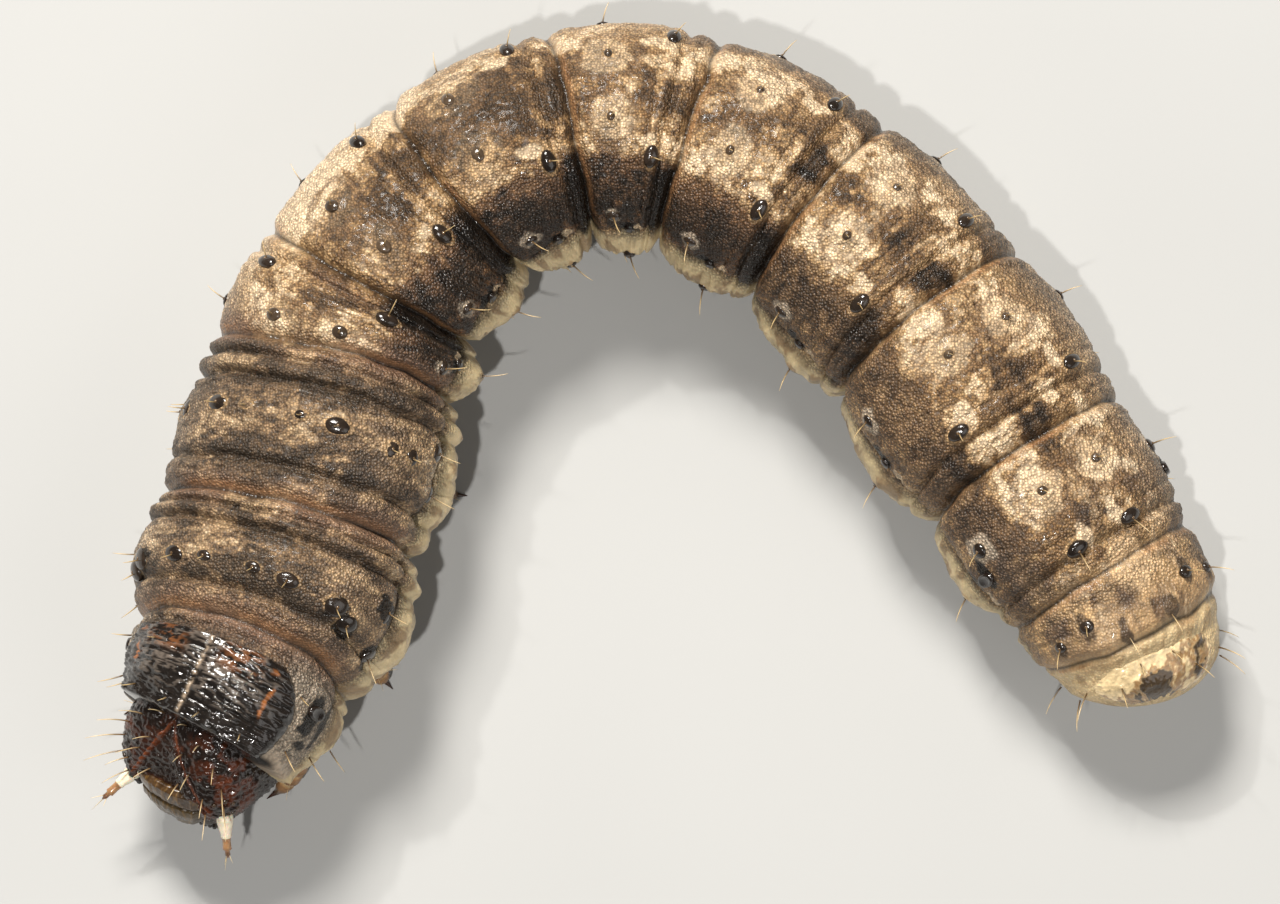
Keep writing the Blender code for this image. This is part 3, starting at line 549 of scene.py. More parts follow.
def mesh_object(name, points, faces, material, colours=None, values=None):
    """An object from points in millimetres, with a colour and named numbers at each point."""
    mesh = bpy.data.meshes.new(name)
    mesh.from_pydata((np.asarray(points, float) * MM).tolist(), [], [list(face) for face in faces])
    if colours is not None:
        tint = mesh.attributes.new("tint", "FLOAT_COLOR", "POINT")
        tint.data.foreach_set("color", np.column_stack((colours, np.ones(len(colours)))).ravel())
    for label, numbers in (values or {}).items():
        layer = mesh.attributes.new(label, "FLOAT", "POINT")
        layer.data.foreach_set("value", np.asarray(numbers, float).ravel())
    mesh.shade_smooth()
    mesh.materials.append(material)
    piece = bpy.data.objects.new(name, mesh)
    bpy.context.scene.collection.objects.link(piece)
    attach(piece, "root")
    return piece


class Parts:
    """Collects many small closed forms into one mesh."""

    def __init__(self):
        self.points, self.faces, self.colours, self.patches, self.count = [], [], [], [], 0

    def add(self, points, faces, colours, patch=None):
        self.points.append(points)
        self.faces += [[corner + self.count for corner in face] for face in faces]
        self.colours.append(np.broadcast_to(colours, points.shape))
        self.count += len(points)
        if patch is not None:
            self.patches.append(patch)

    def build(self, name, material):
        piece = mesh_object(name, np.concatenate(self.points), self.faces, material,
                            np.concatenate(self.colours))
        if self.patches:
            layer = piece.data.uv_layers.new(name="OFBake")
            corners = np.empty(len(piece.data.loops), dtype=np.int32)
            piece.data.loops.foreach_get("vertex_index", corners)
            layer.data.foreach_set("uv", np.concatenate(self.patches)[corners].ravel())
        return piece


def tube_faces(rows, sides):
    """Faces of a closed tube of rings, with its two ends."""
    faces = strip_faces(rows, sides, True).tolist()
    faces.append(list(range(sides))[::-1])
    faces.append(list(range((rows - 1) * sides, rows * sides)))
    return faces


def closed_sheet(name, upper, lower, colour, material):
    """A thin piece between two grids of points, closed round the rim, both in the same colours."""
    rows, columns = upper.shape[:2]
    half = rows * columns
    sheet = strip_faces(rows, columns, False)
    rim = list(range(columns)) + [row * columns + columns - 1 for row in range(1, rows)]
    rim += [(rows - 1) * columns + place for place in range(columns - 2, -1, -1)]
    rim += [row * columns for row in range(rows - 2, 0, -1)]
    faces = sheet.tolist() + (sheet[:, ::-1] + half).tolist()
    faces += [[here, half + here, half + following, following]
              for here, following in zip(rim, rim[1:] + rim[:1])]
    points = np.concatenate((upper.reshape(-1, 3), lower.reshape(-1, 3)))
    return mesh_object(name, points, faces, material, np.concatenate((colour.reshape(-1, 3),) * 2))


def tube_points(path, radii, sides):
    """Rings of points round a path, square to it."""
    path = np.asarray(path, float)
    ways = np.gradient(path, axis=0)
    ways = ways / np.linalg.norm(ways, axis=1, keepdims=True)
    helper = np.array((0.31, 0.22, 0.93))
    if abs(ways[0] @ helper) > 0.9:
        helper = np.array((0.9, -0.3, 0.1))
    turns = 2 * pi * np.arange(sides) / sides
    rings = []
    for place, way, radius in zip(path, ways, radii):
        first = np.cross(way, helper)
        first = first / np.linalg.norm(first)
        second = np.cross(way, first)
        rings.append(place + radius * (np.outer(np.cos(turns), first) + np.outer(np.sin(turns), second)))
    return np.concatenate(rings)


def dome(parts, centre, along, around, out, half_long, half_wide, rise, sunk, colour, rows=6, sides=18):
    """A low dome on a surface, with its rim rooted below it."""
    turns = 2 * pi * np.arange(sides) / sides
    points = [centre - out * sunk + half_long * along * cos(turn) + half_wide * around * sin(turn)
              for turn in turns]
    for row in range(rows):
        height = pi / 2 * row / rows
        for turn in turns:
            spread = half_long * along * cos(turn) + half_wide * around * sin(turn)
            points.append(centre + spread * cos(height) + out * rise * sin(height))
    parts.add(np.array(points), tube_faces(rows + 1, sides), colour)


# Materials

def new_material(name, roughness, coat=0.0, specular=0.5):
    """A Principled material and its shader node."""
    material = bpy.data.materials.new(name)
    material.use_nodes = True
    shader = material.node_tree.nodes["Principled BSDF"]
    shader.inputs["Roughness"].default_value = roughness
    shader.inputs["Coat Weight"].default_value = coat
    shader.inputs["Coat Roughness"].default_value = 0.08
    shader.inputs["Specular IOR Level"].default_value = specular
    return material, shader


def add_node(material, kind, inputs=None, **settings):
    """A node with its settings, whose inputs are numbers or the outputs of other nodes."""
    node = material.node_tree.nodes.new(kind)
    for label, value in settings.items():
        setattr(node, label, value)
    for label, value in (inputs or {}).items():
        if isinstance(value, bpy.types.NodeSocket):
            material.node_tree.links.new(value, node.inputs[label])
        else:
            node.inputs[label].default_value = value
    return node


def object_place(material):
    return add_node(material, "ShaderNodeTexCoord").outputs["Object"]


def attribute(material, label, output):
    return add_node(material, "ShaderNodeAttribute", attribute_name=label).outputs[output]


def arithmetic(material, operation, first, second=0.0, third=0.0):
    inputs = {0: first, 1: second, 2: third}
    return add_node(material, "ShaderNodeMath", inputs, operation=operation).outputs[0]


def scaled_colour(material, colour, factor):
    """A colour times a number."""
    inputs = {0: colour, "Scale": factor}
    return add_node(material, "ShaderNodeVectorMath", inputs, operation="SCALE").outputs[0]


def bump(material, height, distance, strength=1.0, normal=None):
    inputs = {"Height": height, "Distance": distance, "Strength": strength}
    if normal is not None:
        inputs["Normal"] = normal
    return add_node(material, "ShaderNodeBump", inputs).outputs["Normal"]


def mapped(material, source, low, high, out_low, out_high):
    """A number moved from one range to another."""
    inputs = {"Value": source, "From Min": low, "From Max": high, "To Min": out_low, "To Max": out_high}
    return add_node(material, "ShaderNodeMapRange", inputs).outputs["Result"]


def join(material, value, shader, label):
    material.node_tree.links.new(value, shader.inputs[label])


def noised(material, source, out_low, out_high):
    """A noise, most of which lies between 0.3 and 0.7, moved to another range."""
    return mapped(material, source, 0.3, 0.7, out_low, out_high)


def tint_by(material, shader, source, low, high):
    """Give the shader the tint of the points, made darker and lighter by a noise."""
    tint = attribute(material, "tint", "Color")
    shade = noised(material, source, low, high)
    join(material, scaled_colour(material, tint, shade), shader, "Base Color")


def skin_material():
    """Greasy skin paved with small grains, each a little lighter or darker than the next, with a painted
    highlight on its crown and painted shade round it.
    """
    material, shader = new_material("larva_skin", 0.45, 0.05, 0.28)
    place = object_place(material)
    grain = attribute(material, "grain", "Fac")
    tint = attribute(material, "tint", "Color")
    cells = add_node(material, "ShaderNodeTexVoronoi",
                     {"Vector": place, "Scale": 13500.0, "Randomness": 0.75})
    mottle = add_node(material, "ShaderNodeTexNoise", {"Vector": place, "Scale": 4500.0, "Detail": 3.0})
    own = add_node(material, "ShaderNodeSeparateColor", {"Color": cells.outputs["Color"]}).outputs[0]
    own = mapped(material, own, 0.1, 0.45, 0.7, 1.14)
    # Each grain is lighter at its crown and darker round its edge: painted highlight and painted shade on
    # the beads.
    crown = mapped(material, cells.outputs["Distance"], 0.12, 0.6, 1.28, 0.5)
    lively = arithmetic(material, "MULTIPLY", own, crown)
    clouds = noised(material, mottle.outputs["Fac"], 0.82, 1.2)
    lively = arithmetic(material, "MULTIPLY", lively, clouds)
    quiet = noised(material, mottle.outputs["Fac"], 0.86, 1.1)
    mixed = add_node(material, "ShaderNodeMix", {0: grain, 2: quiet, 3: lively}).outputs[0]
    join(material, scaled_colour(material, tint, mixed), shader, "Base Color")
    domes = mapped(material, cells.outputs["Distance"], 0.0, 0.7, 1.0, 0.0)
    height = arithmetic(material, "MULTIPLY", domes, grain)
    fine = bump(material, mottle.outputs["Fac"], 0.00002, 0.35)
    join(material, bump(material, height, 0.000045, 1.0, fine), shader, "Normal")
    join(material, attribute(material, "rough", "Fac"), shader, "Roughness")
    shader.inputs["Subsurface Weight"].default_value = 0.12
    shader.inputs["Subsurface Scale"].default_value = 0.0002
    shader.inputs["Subsurface Radius"].default_value = (1.0, 0.5, 0.3)
    return material


def shell_material(name, roughness, wrinkle_scale, wrinkle_strength, coat=0.35):
    """Hard glossy shell, tinted by its points, with fine wrinkles and pits."""
    material, shader = new_material(name, roughness, coat, 0.3)
    place = object_place(material)
    wrinkles = add_node(material, "ShaderNodeTexNoise",
                        {"Vector": place, "Scale": wrinkle_scale, "Detail": 4.0, "Distortion": 0.6})
    pits = add_node(material, "ShaderNodeTexVoronoi", {"Vector": place, "Scale": wrinkle_scale * 2.4})
    tint_by(material, shader, wrinkles.outputs["Fac"], 0.65, 1.35)
    base = bump(material, pits.outputs["Distance"], 0.00002, wrinkle_strength * 0.5)
    folded = bump(material, wrinkles.outputs["Fac"], 0.00005, wrinkle_strength, base)
    join(material, folded, shader, "Normal")
    uneven = noised(material, wrinkles.outputs["Fac"], roughness * 0.7, roughness * 1.5)
    join(material, uneven, shader, "Roughness")
    return material


def bristle_material():
    """Thin golden bristles that let light through."""
    material, shader = new_material("bristles", 0.3)
    place = object_place(material)
    streak = add_node(material, "ShaderNodeTexNoise", {"Vector": place, "Scale": 9000.0, "Detail": 2.0})
    tint_by(material, shader, streak.outputs["Fac"], 0.85, 1.15)
    shader.inputs["Transmission Weight"].default_value = 0.25
    return material


def soft_material(name, roughness):
    """Pale translucent membrane, tinted by its points."""
    material, shader = new_material(name, roughness, 0.2)
    place = object_place(material)
    cloud = add_node(material, "ShaderNodeTexNoise", {"Vector": place, "Scale": 6000.0, "Detail": 3.0})
    tint_by(material, shader, cloud.outputs["Fac"], 0.8, 1.15)
    join(material, bump(material, cloud.outputs["Fac"], 0.00002, 0.4), shader, "Normal")
    shader.inputs["Subsurface Weight"].default_value = 0.25
    shader.inputs["Subsurface Scale"].default_value = 0.0003
    return material


# The skin

def plates_of(number):
    """Plates of a segment, for both sides."""
    listed = PLATES_OF_SEGMENT.get(number, ABDOMEN_PLATES)
    return [plate._replace(angle=side * plate.angle) for plate in listed for side in (1, -1)]


def spiracles():
    """Segment, place, angle, half length and half width of every spiracle."""
    found = []
    for number in SPIRACLE_SEGMENTS:
        large = number in LARGE_SPIRACLE_SEGMENTS
        place, angle, long, wide = LARGE_SPIRACLE if large else SPIRACLE
        found += [(number, place, side * angle, long, wide) for side in (1, -1)]
    return found


class Skin:
    """Grid of the skin with what its relief and its colours are worked out from."""

    def __init__(self):
        rows = int((BODY_LENGTH + NECK_TUCK) / SKIN_STEP)
        columns = int(2 * pi * GRID_RADIUS / SKIN_STEP)
        neck_gap, tail_gap = SKIN_END_GAPS
        line = np.linspace(-NECK_TUCK + neck_gap, BODY_LENGTH - tail_gap, rows)
        turn = np.linspace(-180, 180, columns, endpoint=False)
        self.shape = (rows, columns)
        self.station = np.repeat(line[:, None], columns, axis=1)
        self.angle = np.repeat(turn[None, :], rows, axis=0)
        self.side = np.abs(self.angle)
        across = np.sin(np.radians(self.angle))
        self.inner, self.outer = np.clip(across, 0, 1), np.clip(-across, 0, 1)
        self.index, self.within = segment_at(self.station)
        turned = np.radians(self.angle)
        self.space = np.stack((self.station, DRAWN_RADIUS * np.sin(turned),
                               DRAWN_RADIUS * np.cos(turned)), axis=-1)
        self.wobble = (noise(self.space * (0.6, 1.3, 1.3), 3) - 0.5) * 0.16
        self.back = 1 - step(self.side, 93, 101)
        past = np.stack([self.station + self.wobble - fold for fold in FOLDS[1:-1]])
        nearest = np.argmin(np.abs(past), axis=0)
        self.past_fold = np.take_along_axis(past, nearest[None], axis=0)[0]
        self.to_fold = np.abs(self.past_fold)
        count = round(2 * pi * GRID_RADIUS / GRAIN_PITCH)
        self.from_grain, self.grain = paving(self.station / GRAIN_PITCH, self.angle * count / 360,
                                             count, 201)
        self.ragged = self.cloud(4, 103, 2) - 0.5
        self.specks = self.cloud(5.5, 71, 2)
        self.wavy_side = self.side + (self.cloud(1.3, 51, 3) - 0.5) * 15
        self.belly = step(self.side + 30 * self.wobble + 8 * (self.cloud(2.2, 93, 2) - 0.5), 91, 98)
        self.thorax = 1 - step(self.station, FOLDS[3] - 0.6, FOLDS[3] + 0.8)
        self.abdomen = band(self.station, FOLDS[3], FOLDS[10] + 2, 0.3)
        self.late = step(self.station, FOLDS[7] + 1, FOLDS[9])

    def cloud(self, scale, seed, octaves, gain=0.55):
        """Layered noise over the skin, finer with a larger scale."""
        return layered(self.space * scale, seed, octaves, gain)

    def spot(self, number, place, angle, along, around):
        """Distance from a place of the skin, one at the edge of an oval of those half sizes."""
        past = (self.station - station_of(number, place)) / along
        gap = np.radians((self.angle - angle + 180) % 360 - 180)
        return np.sqrt(past ** 2 + (gap * DRAWN_RADIUS / around) ** 2)


def fine_folds_of(number):
    """Fine folds of a segment: place, depth, spread and widest angle."""
    if number == 0:
        return FINE_COLLAR
    if number < 3:
        return FINE_THORAX
    return FINE_NINTH if number == 11 else FINE_ABDOMEN


def fold_relief(skin):
    """Height of the folds between the segments, of the creases and of the rolls."""
    s, a = skin.station, skin.side
    deep = 0.75 + 0.5 * skin.inner
    lift = -SHARP_FOLD_DEPTH * deep * bell(skin.to_fold, SHARP_FOLD_SPREAD)
    lift = lift * (1 - 0.7 * step(s, FOLDS[10] + 1, FOLDS[11] - 0.5))
    for fold, fill in zip(FOLDS[11:13], TAIL_FOLD_FILLS):
        lift = lift + fill * bell(s - fold, 0.34) * (1 - step(a, 100, 130))
    lift = lift + 0.04 * bell(skin.to_fold - 0.26, 0.12)
    for number in range(LAST_SEGMENT):
        here = skin.index == number
        for place, depth, spread, widest in fine_folds_of(number):
            reach = 1 - step(a, widest - 15, widest + 5)
            crease = s + skin.wobble * 1.4 - station_of(number, place)
            lift = lift - here * reach * depth * bell(crease, spread)
    for number in (1, 2):
        for place, rise, spread in THORAX_ROLLS:
            crest = s + skin.wobble - station_of(number, place)
            lift = lift + (skin.index == number) * rise * bell(crest, spread)
    return lift


def wrinkle_relief(skin, lift):
    """Add lengthwise wrinkles and uneven swellings."""
    ridges = 1 - np.abs(2 * skin.cloud((5.5, 0.9, 0.9), 11, 3) - 1)
    near = 0.35 + 0.65 * bell(skin.to_fold, 0.7)
    near = np.where(skin.index < 4, np.maximum(near, 0.75), near)
    lift = lift + 0.07 * near * (ridges - 0.6)
    lift = lift + 0.1 * (skin.cloud(1.7, 21, 3) - 0.5)
    return lift + 0.05 * (skin.cloud(5.2, 31, 2) - 0.5)


def flank_relief(skin, lift):
    """Add the crack over the flank, the lobes of the flank and the folds below it."""
    s, a = skin.station, skin.side
    groove = bell(a - CRACK_ANGLE - 12 * skin.wobble, 2.0) * band(skin.within, 0.2, 0.93, 0.06)
    lift = lift - 0.13 * groove * band(s, FOLDS[1] + 0.3, FOLDS[11], 0.3)
    flank = step(a, 96, 102) * (1 - step(a, 122, 135))
    whole = band(s, FOLDS[1], FOLDS[12], 0.3)
    lift = lift + 0.22 * flank * (skin.cloud((1.1, 0.9, 0.9), 41, 2) - 0.45)
    lobes = np.sin(pi * np.clip(skin.within, 0, 1)) - 0.6
    lift = lift + 0.13 * lobes * flank * whole
    lift = lift - 0.1 * bell(a - 124 - 25 * skin.wobble, 3) * whole
    lift = lift + 0.12 * step(a, 124, 132) * (skin.cloud((2.6, 1.1, 1.1), 45, 3) - 0.5)
    return lift + 0.09 * flank * (skin.cloud((4.2, 3.4, 3.4), 43, 2) - 0.5)


def fine_relief(skin):
    """Height of creases, wrinkles, swellings round plates, and dips at the spiracles."""
    lift = flank_relief(skin, wrinkle_relief(skin, fold_relief(skin)))
    for number in range(len(SEGMENTS)):
        for plate in plates_of(number):
            swell = skin.spot(number, plate.place, plate.angle, plate.along + 0.1, plate.around + 0.1)
            lift = lift + 0.07 * bell(swell, 1.15)
    for number, place, angle, long, wide in spiracles():
        lift = lift - 0.06 * bell(skin.spot(number, place, angle, wide + 0.05, long + 0.05), 1.0)
    return lift


def grain_mask(skin):
    """Where the skin is paved with grains: the back and the flanks, less in the folds."""
    mask = skin.back * (1 - 0.7 * bell(skin.to_fold, 0.16))
    mask = mask * step(skin.station, 0.1, 0.5) * (1 - 0.75 * step(skin.station, FOLDS[11], FOLDS[12]))
    return np.clip(mask + 0.12, 0, 1)


def mix(base, colour, mask):
    """Lay a colour over another where the mask is one."""
    return base + (np.array(colour) - base) * np.clip(mask, 0, 1)[..., None]


def tone_colour(tone):
    """Colours from black through brown and tan to cream."""
    knots = (0.0, 0.2, 0.45, 0.68, 0.9)
    colours = np.array((BLACK, DARK, BROWN, TAN, CREAM))
    return np.stack([np.interp(tone, knots, colours[:, channel]) for channel in range(3)], axis=-1)


def shaded(colour, amount):
    """A colour made lighter or darker from point to point."""
    return np.array(colour) * amount[..., None]


def stripe_tone(skin):
    """Lightness of the stripes along the back, plainer on the thorax, with dark rear corners, and painted
    light on the thorax's rolls and painted shade in its creases.
    """
    b, u, s = skin.wavy_side, skin.within, skin.station
    tone = np.interp(b, TONE_ANGLES, TONE_LEVELS)
    tone = tone + skin.late * 0.12 * band(b, 38, 90, 6)
    # On the thorax: lighter in the middle of each segment, on its roll, and darker at its two creases:
    # painted light and painted shade.
    crest_light_and_crease_shade = 0.1 * bell(u - 0.5, 0.15) - 0.12 * bell(u - 0.25, 0.05) - 0.1 * bell(u - 0.72, 0.04)
    plain = 0.37 + crest_light_and_crease_shade + 0.14 * step(b, 66, 85)
    tone = tone + (plain + 0.25 * (tone - 0.43) - tone) * skin.thorax
    front = band(u, 0.04, 0.5, 0.07) * band(b, 10, 37, 4)
    rear = step(u, 0.79, 0.84)
    black = rear * (band(b, 36, 96, 5) * (1 - 0.75 * skin.outer) + 0.9 * (1 - step(b, 8, 13)))
    strong = 1 - 0.5 * step(s, FOLDS[8], FOLDS[10])
    marks = 0.16 * front + 0.1 * rear * band(b, 14, 33, 3) - 0.3 * strong * black
    return tone + skin.abdomen * marks


def mottle_tone(skin, tone):
    """Break the stripes up into fields, a dark net on the pale parts, specks and streaks."""
    b = skin.wavy_side
    fields = skin.cloud((1.9, 1.4, 1.4), 61, 4, 0.6)
    tone = tone + 0.32 * (step(fields, 0.45, 0.55) - 0.5) * (1 - 0.5 * band(b, 40, 85, 6))
    net = np.abs(2 * skin.cloud(3.4, 65, 3) - 1)
    tone = tone - 0.2 * step(tone, 0.45, 0.62) * (1 - step(net, 0.03, 0.13))
    tone = tone + 0.2 * (skin.specks - 0.5)
    middle = band(skin.within, 0.5, 0.92, 0.1) * (1 - step(b, 34, 46))
    return tone + 0.45 * skin.abdomen * middle * (skin.cloud((7, 1.1, 1.1), 75, 2) - 0.5)


def skin_tone(skin):
    """Lightness of the back's pattern, before marks are laid over it."""
    a, s = skin.side, skin.station
    tone = mottle_tone(skin, stripe_tone(skin))
    arch = band(s, FOLDS[3] + 1, FOLDS[7], 1.0)
    tone = tone + 0.17 * skin.outer * step(a, 16, 50) + 0.16 * arch * skin.outer * step(a, 14, 40)
    tone = tone + 0.22 * arch * skin.outer * band(skin.wavy_side, 36, 86, 7)
    tone = tone - 0.17 * band(s, FOLDS[4] + 0.3, FOLDS[6] + 1, 0.4) * (1 - step(a, 20, 36))
    tone = tone - 0.1 * band(s, FOLDS[5], FOLDS[6], 0.3) * (1 - step(a, 24, 40))
    tone = tone + 0.3 * skin.outer * band(s, FOLDS[4] - 0.4, FOLDS[5] + 0.3, 0.5) * step(a, 12, 36)
    tone = tone + 0.13 * skin.thorax * (s > FOLDS[1]) * skin.inner * step(a, 40, 60)
    tone = tone - 0.2 * (1 - step(s, FOLDS[1] - 0.1, FOLDS[1] + 0.1))
    patches = step(skin.cloud((3.1, 1.7, 1.7), 67, 4, 0.65), 0.48, 0.62)
    tone = tone + skin.thorax * (0.22 * patches - 0.12)
    tone = tone + 0.65 * skin.thorax * np.maximum(0.25 - tone, 0)
    tone = tone + 0.5 * arch * skin.inner * step(a, 30, 50) * (skin.specks - 0.5)
    upper = np.maximum(1 - step(a, 26, 40), np.clip(skin.outer * 1.6, 0, 1))
    tone = tone + 0.8 * arch * upper * np.maximum(0.3 - tone, 0)
    return tone - (0.07 + 0.07 * arch) * skin.inner * skin.abdomen * (1 - skin.late)


def back_colours(skin):
    """Colours of the pattern with its grains, greyer outside the bend and browner inside it, where painted
    shade deepens the dark parts.
    """
    a, s = skin.side, skin.station
    tone = skin_tone(skin)
    gap = step(skin.from_grain, 0.4, 0.62)
    lively = 0.1 - 0.03 * step(tone, 0.5, 0.66)
    tone = tone + grain_mask(skin) * (lively * (skin.grain - 0.66) * (1 - gap) + 0.05 * gap)
    lit = np.clip(tone, 0, 1)
    colour = tone_colour(np.clip(tone, 0.02, 1))
    outer = skin.outer * step(a, 25, 70)
    arch = band(s, FOLDS[3], FOLDS[8], 1.0)
    grey = shaded(GREY_BROWN, 0.1 + 2.6 * lit ** 1.3)
    colour = mix(colour, grey, 0.65 * (1 - arch) * outer)
    colour = mix(colour, shaded(OUTER_PALE, 0.2 + 1.2 * lit), 0.5 * arch * outer)
    golden = (1 - step(a, 28, 55)) * band(s, FOLDS[1], FOLDS[11], 0.5) * (1 - step(tone, 0.45, 0.7))
    colour = colour * (1 - golden[..., None] * (0.0, 0.05, 0.17))
    colour = mix(colour, grey, 0.2 * (1 - step(s, FOLDS[3] - 0.5, FOLDS[3] + 1.5)))
    dark_side = arch * skin.inner * band(a, 36, 92, 6) * band(tone, 0.18, 0.6, 0.08)
    colour = mix(colour, shaded(INNER_BROWN, 0.5 + 1.3 * lit), 0.7 * dark_side)
    # The dark parts of the inner flank are made darker still: partly their own dark brown, partly painted
    # shade on the side turned from the light.
    shade = arch * skin.inner * band(a, 50, 94, 8) * (1 - step(tone, 0.28, 0.45))
    return mix(colour, np.array(DARK) * 0.7, 0.8 * shade)


def neck_colours(skin, colour):
    """Pinkish rolls of the thorax, the pebbled grey collar, and painted shade at the neck, under the shield
    and behind the head.
    """
    a, s = skin.side, skin.station
    rolls = bell(skin.to_fold, 0.4) * (1 - step(s, FOLDS[4] - 0.6, FOLDS[4])) * skin.back
    colour = mix(colour, ROLL_PINK, 0.5 * rolls * step(noise(skin.space * (1.2, 0.7, 0.7), 85), 0.3, 0.6))
    collar = (1 - step(s, 1.5, 2.3)) * step(a, 40, 60)
    pebbled = 0.7 + 0.6 * skin.grain * skin.back
    colour = mix(colour, np.array(GREY_BROWN) * 1.5 * pebbled[..., None], 0.75 * collar)
    # Black skin under the shield's front edge and a dark front of the neck: painted shade in the gap between
    # the shield and the head.
    under_shield = 1 - step(a, 66, 80)
    colour = mix(colour, BLACK, (1 - step(s, 0.03, 0.16)) * under_shield)
    front = shaded(NECK_FRONT_SHADE, 0.4 + 1.2 * skin.cloud(3, 79, 2))
    return mix(colour, front, 0.9 * (1 - step(s, -0.09, -0.02)) * under_shield)


def tail_colours(skin, colour):
    """Tan and cream of the last segments, with their stains, mottling and saddle."""
    a, s = skin.side, skin.station
    tail = step(s, FOLDS[10] + 2.2, FOLDS[11] + 0.3)
    warm = 0.55 + 0.75 * skin.cloud(1.9, 81, 3)
    uneven = step(noise(skin.space * 2.4, 83), 0.2, 0.5)
    colour = mix(colour, shaded(TAN, warm) * 1.1, tail * 0.75 * uneven)
    last = step(s + 3 * skin.wobble, FOLDS[12] - 0.2, FOLDS[12] + 0.25)
    colour = mix(colour, shaded(TAIL_CREAM, warm), 0.85 * last)
    stain = step(skin.cloud(2.8, 87, 3), 0.52, 0.64)
    colour = mix(colour, TAIL_STAIN, 0.55 * last * stain * (1 - step(a, 70, 100)))
    mottle = step(skin.cloud((1.8, 1.3, 1.3), 77, 4, 0.65), 0.44, 0.56)
    end = band(s, FOLDS[10] + 1.6, FOLDS[12] - 0.1, 0.4) * (1 - step(a, 80, 100))
    outer = skin.outer * step(a, 25, 70)
    colour = mix(colour, TAIL_MOTTLE, 0.75 * end * mottle * (0.55 + 0.45 * outer))
    saddle = bell(np.hypot(s - FOLDS[11] - 0.1, (skin.angle + 6) / 22), 0.75)
    return mix(colour, SADDLE, 0.8 * step(saddle + 0.5 * (warm - 0.9), 0.45, 0.65))


def belly_colours(skin, colour):
    """Cream belly and flanks with veins, a grey-brown band, smudges and dots."""
    a, belly = skin.side, skin.belly
    veins = (0.55 + 0.75 * skin.cloud(3, 91, 3)) * (0.72 + 0.28 * step(a, 95, 107))
    colour = mix(colour, shaded(BELLY, veins), belly * 0.93)
    low = band(a + 40 * skin.wobble, 116, 152, 6) * (0.45 + 0.55 * step(skin.cloud(1.8, 89, 3), 0.42, 0.6))
    colour = mix(colour, np.array(GREY_BROWN) * 1.3, 0.7 * belly * low)
    smudge = step(skin.cloud(2.6, 97, 3), 0.54, 0.64) * (1 - step(a, 104, 124))
    colour = mix(colour, BROWN, 0.7 * belly * smudge)
    return mix(colour, BROWN, 0.6 * belly * step(noise(skin.space * 7, 99), 0.8, 0.9))


def fold_colours(skin, colour):
    """Black folds, the brown membrane behind them, and the black crack over the flank."""
    a, s = skin.side, skin.station
    fold = bell(skin.to_fold, 0.055) * (1 - 0.5 * skin.belly)
    rim = bell(skin.past_fold - 0.12, 0.07) * skin.back
    uneven = step(noise(skin.space * (1, 0.8, 0.8), 95), 0.35, 0.6)
    colour = mix(colour, MEMBRANE, 0.55 * rim * uneven)
    colour = mix(colour, BLACK, 0.85 * fold)
    dark = skin.inner * band(a, 34, 90, 8) * bell(skin.past_fold + 0.2, 0.3)
    colour = mix(colour, BLACK, 0.75 * dark * band(s, FOLDS[3], FOLDS[8], 1.0))
    crack = bell(a - CRACK_ANGLE - 12 * skin.wobble, 1.5) * band(skin.within, 0.2, 0.93, 0.05)
    return mix(colour, BLACK, 0.8 * crack * band(s, FOLDS[1], FOLDS[11], 0.3))


def skin_colours(skin):
    """Colour of every point of the skin."""
    colour = back_colours(skin)
    for paint in (neck_colours, tail_colours, belly_colours, fold_colours, plate_marks, side_marks):
        colour = paint(skin, colour)
    return colour


def lay_mark(skin, colour, mark, number, place, angle):
    """Lay one ragged mark on a segment."""
    spot = skin.spot(number, place, angle, mark.along, mark.around)
    fade = 1 - step(spot + mark.ragged * skin.ragged, mark.full, mark.gone)
    return mix(colour, mark.colour, mark.strength * fade)


def plate_marks(skin, colour):
    """Pale rings round the plates, cream patches beside them, and blots on the end segments."""
    for number in range(1, LAST_SEGMENT):
        abdomen = 3 <= number <= 10
        for plate in plates_of(number):
            out_angle = abs(plate.angle)
            distance = skin.spot(number, plate.place, plate.angle, plate.along, plate.around)
            colour = mix(colour, np.array(TAN) * 1.1, 0.7 * band(distance, 0.9, 1.35, 0.15))
            if abdomen and 60 < out_angle < 90:
                halo = (1 - step(distance + 2 * skin.ragged, 1.7, 2.5)) * step(distance, 0.9, 1.1)
                colour = mix(colour, np.array(GREY_BROWN) * 1.9, 0.7 * halo)
            if abdomen and number > 3 and 15 < out_angle < 40 and plate.place > 0.6:
                colour = lay_mark(skin, colour, CREAM_PATCH, number, plate.place - 0.08,
                                  plate.angle - side_of(plate.angle) * 8)
            if abdomen and out_angle < 25 and plate.place < 0.5:
                disc = 1 - step(distance + 4 * skin.ragged, 4.6, 5.6)
                strength = 0.4 if number > 5 else 0.1
                colour = mix(colour, CREAM, strength * disc * step(distance, 1.1, 1.6))
                ring = band(distance + 3 * skin.ragged, 5.4, 7.0, 0.5)
                colour = mix(colour, np.array(BROWN) * 1.2, 0.6 * ring)
            if number == 11:
                colour = lay_mark(skin, colour, TAIL_BLOT, number, plate.place, plate.angle)
            if number == 1 and out_angle > 40:
                colour = lay_mark(skin, colour, THORAX_BLOT, number, plate.place, plate.angle)
    return colour


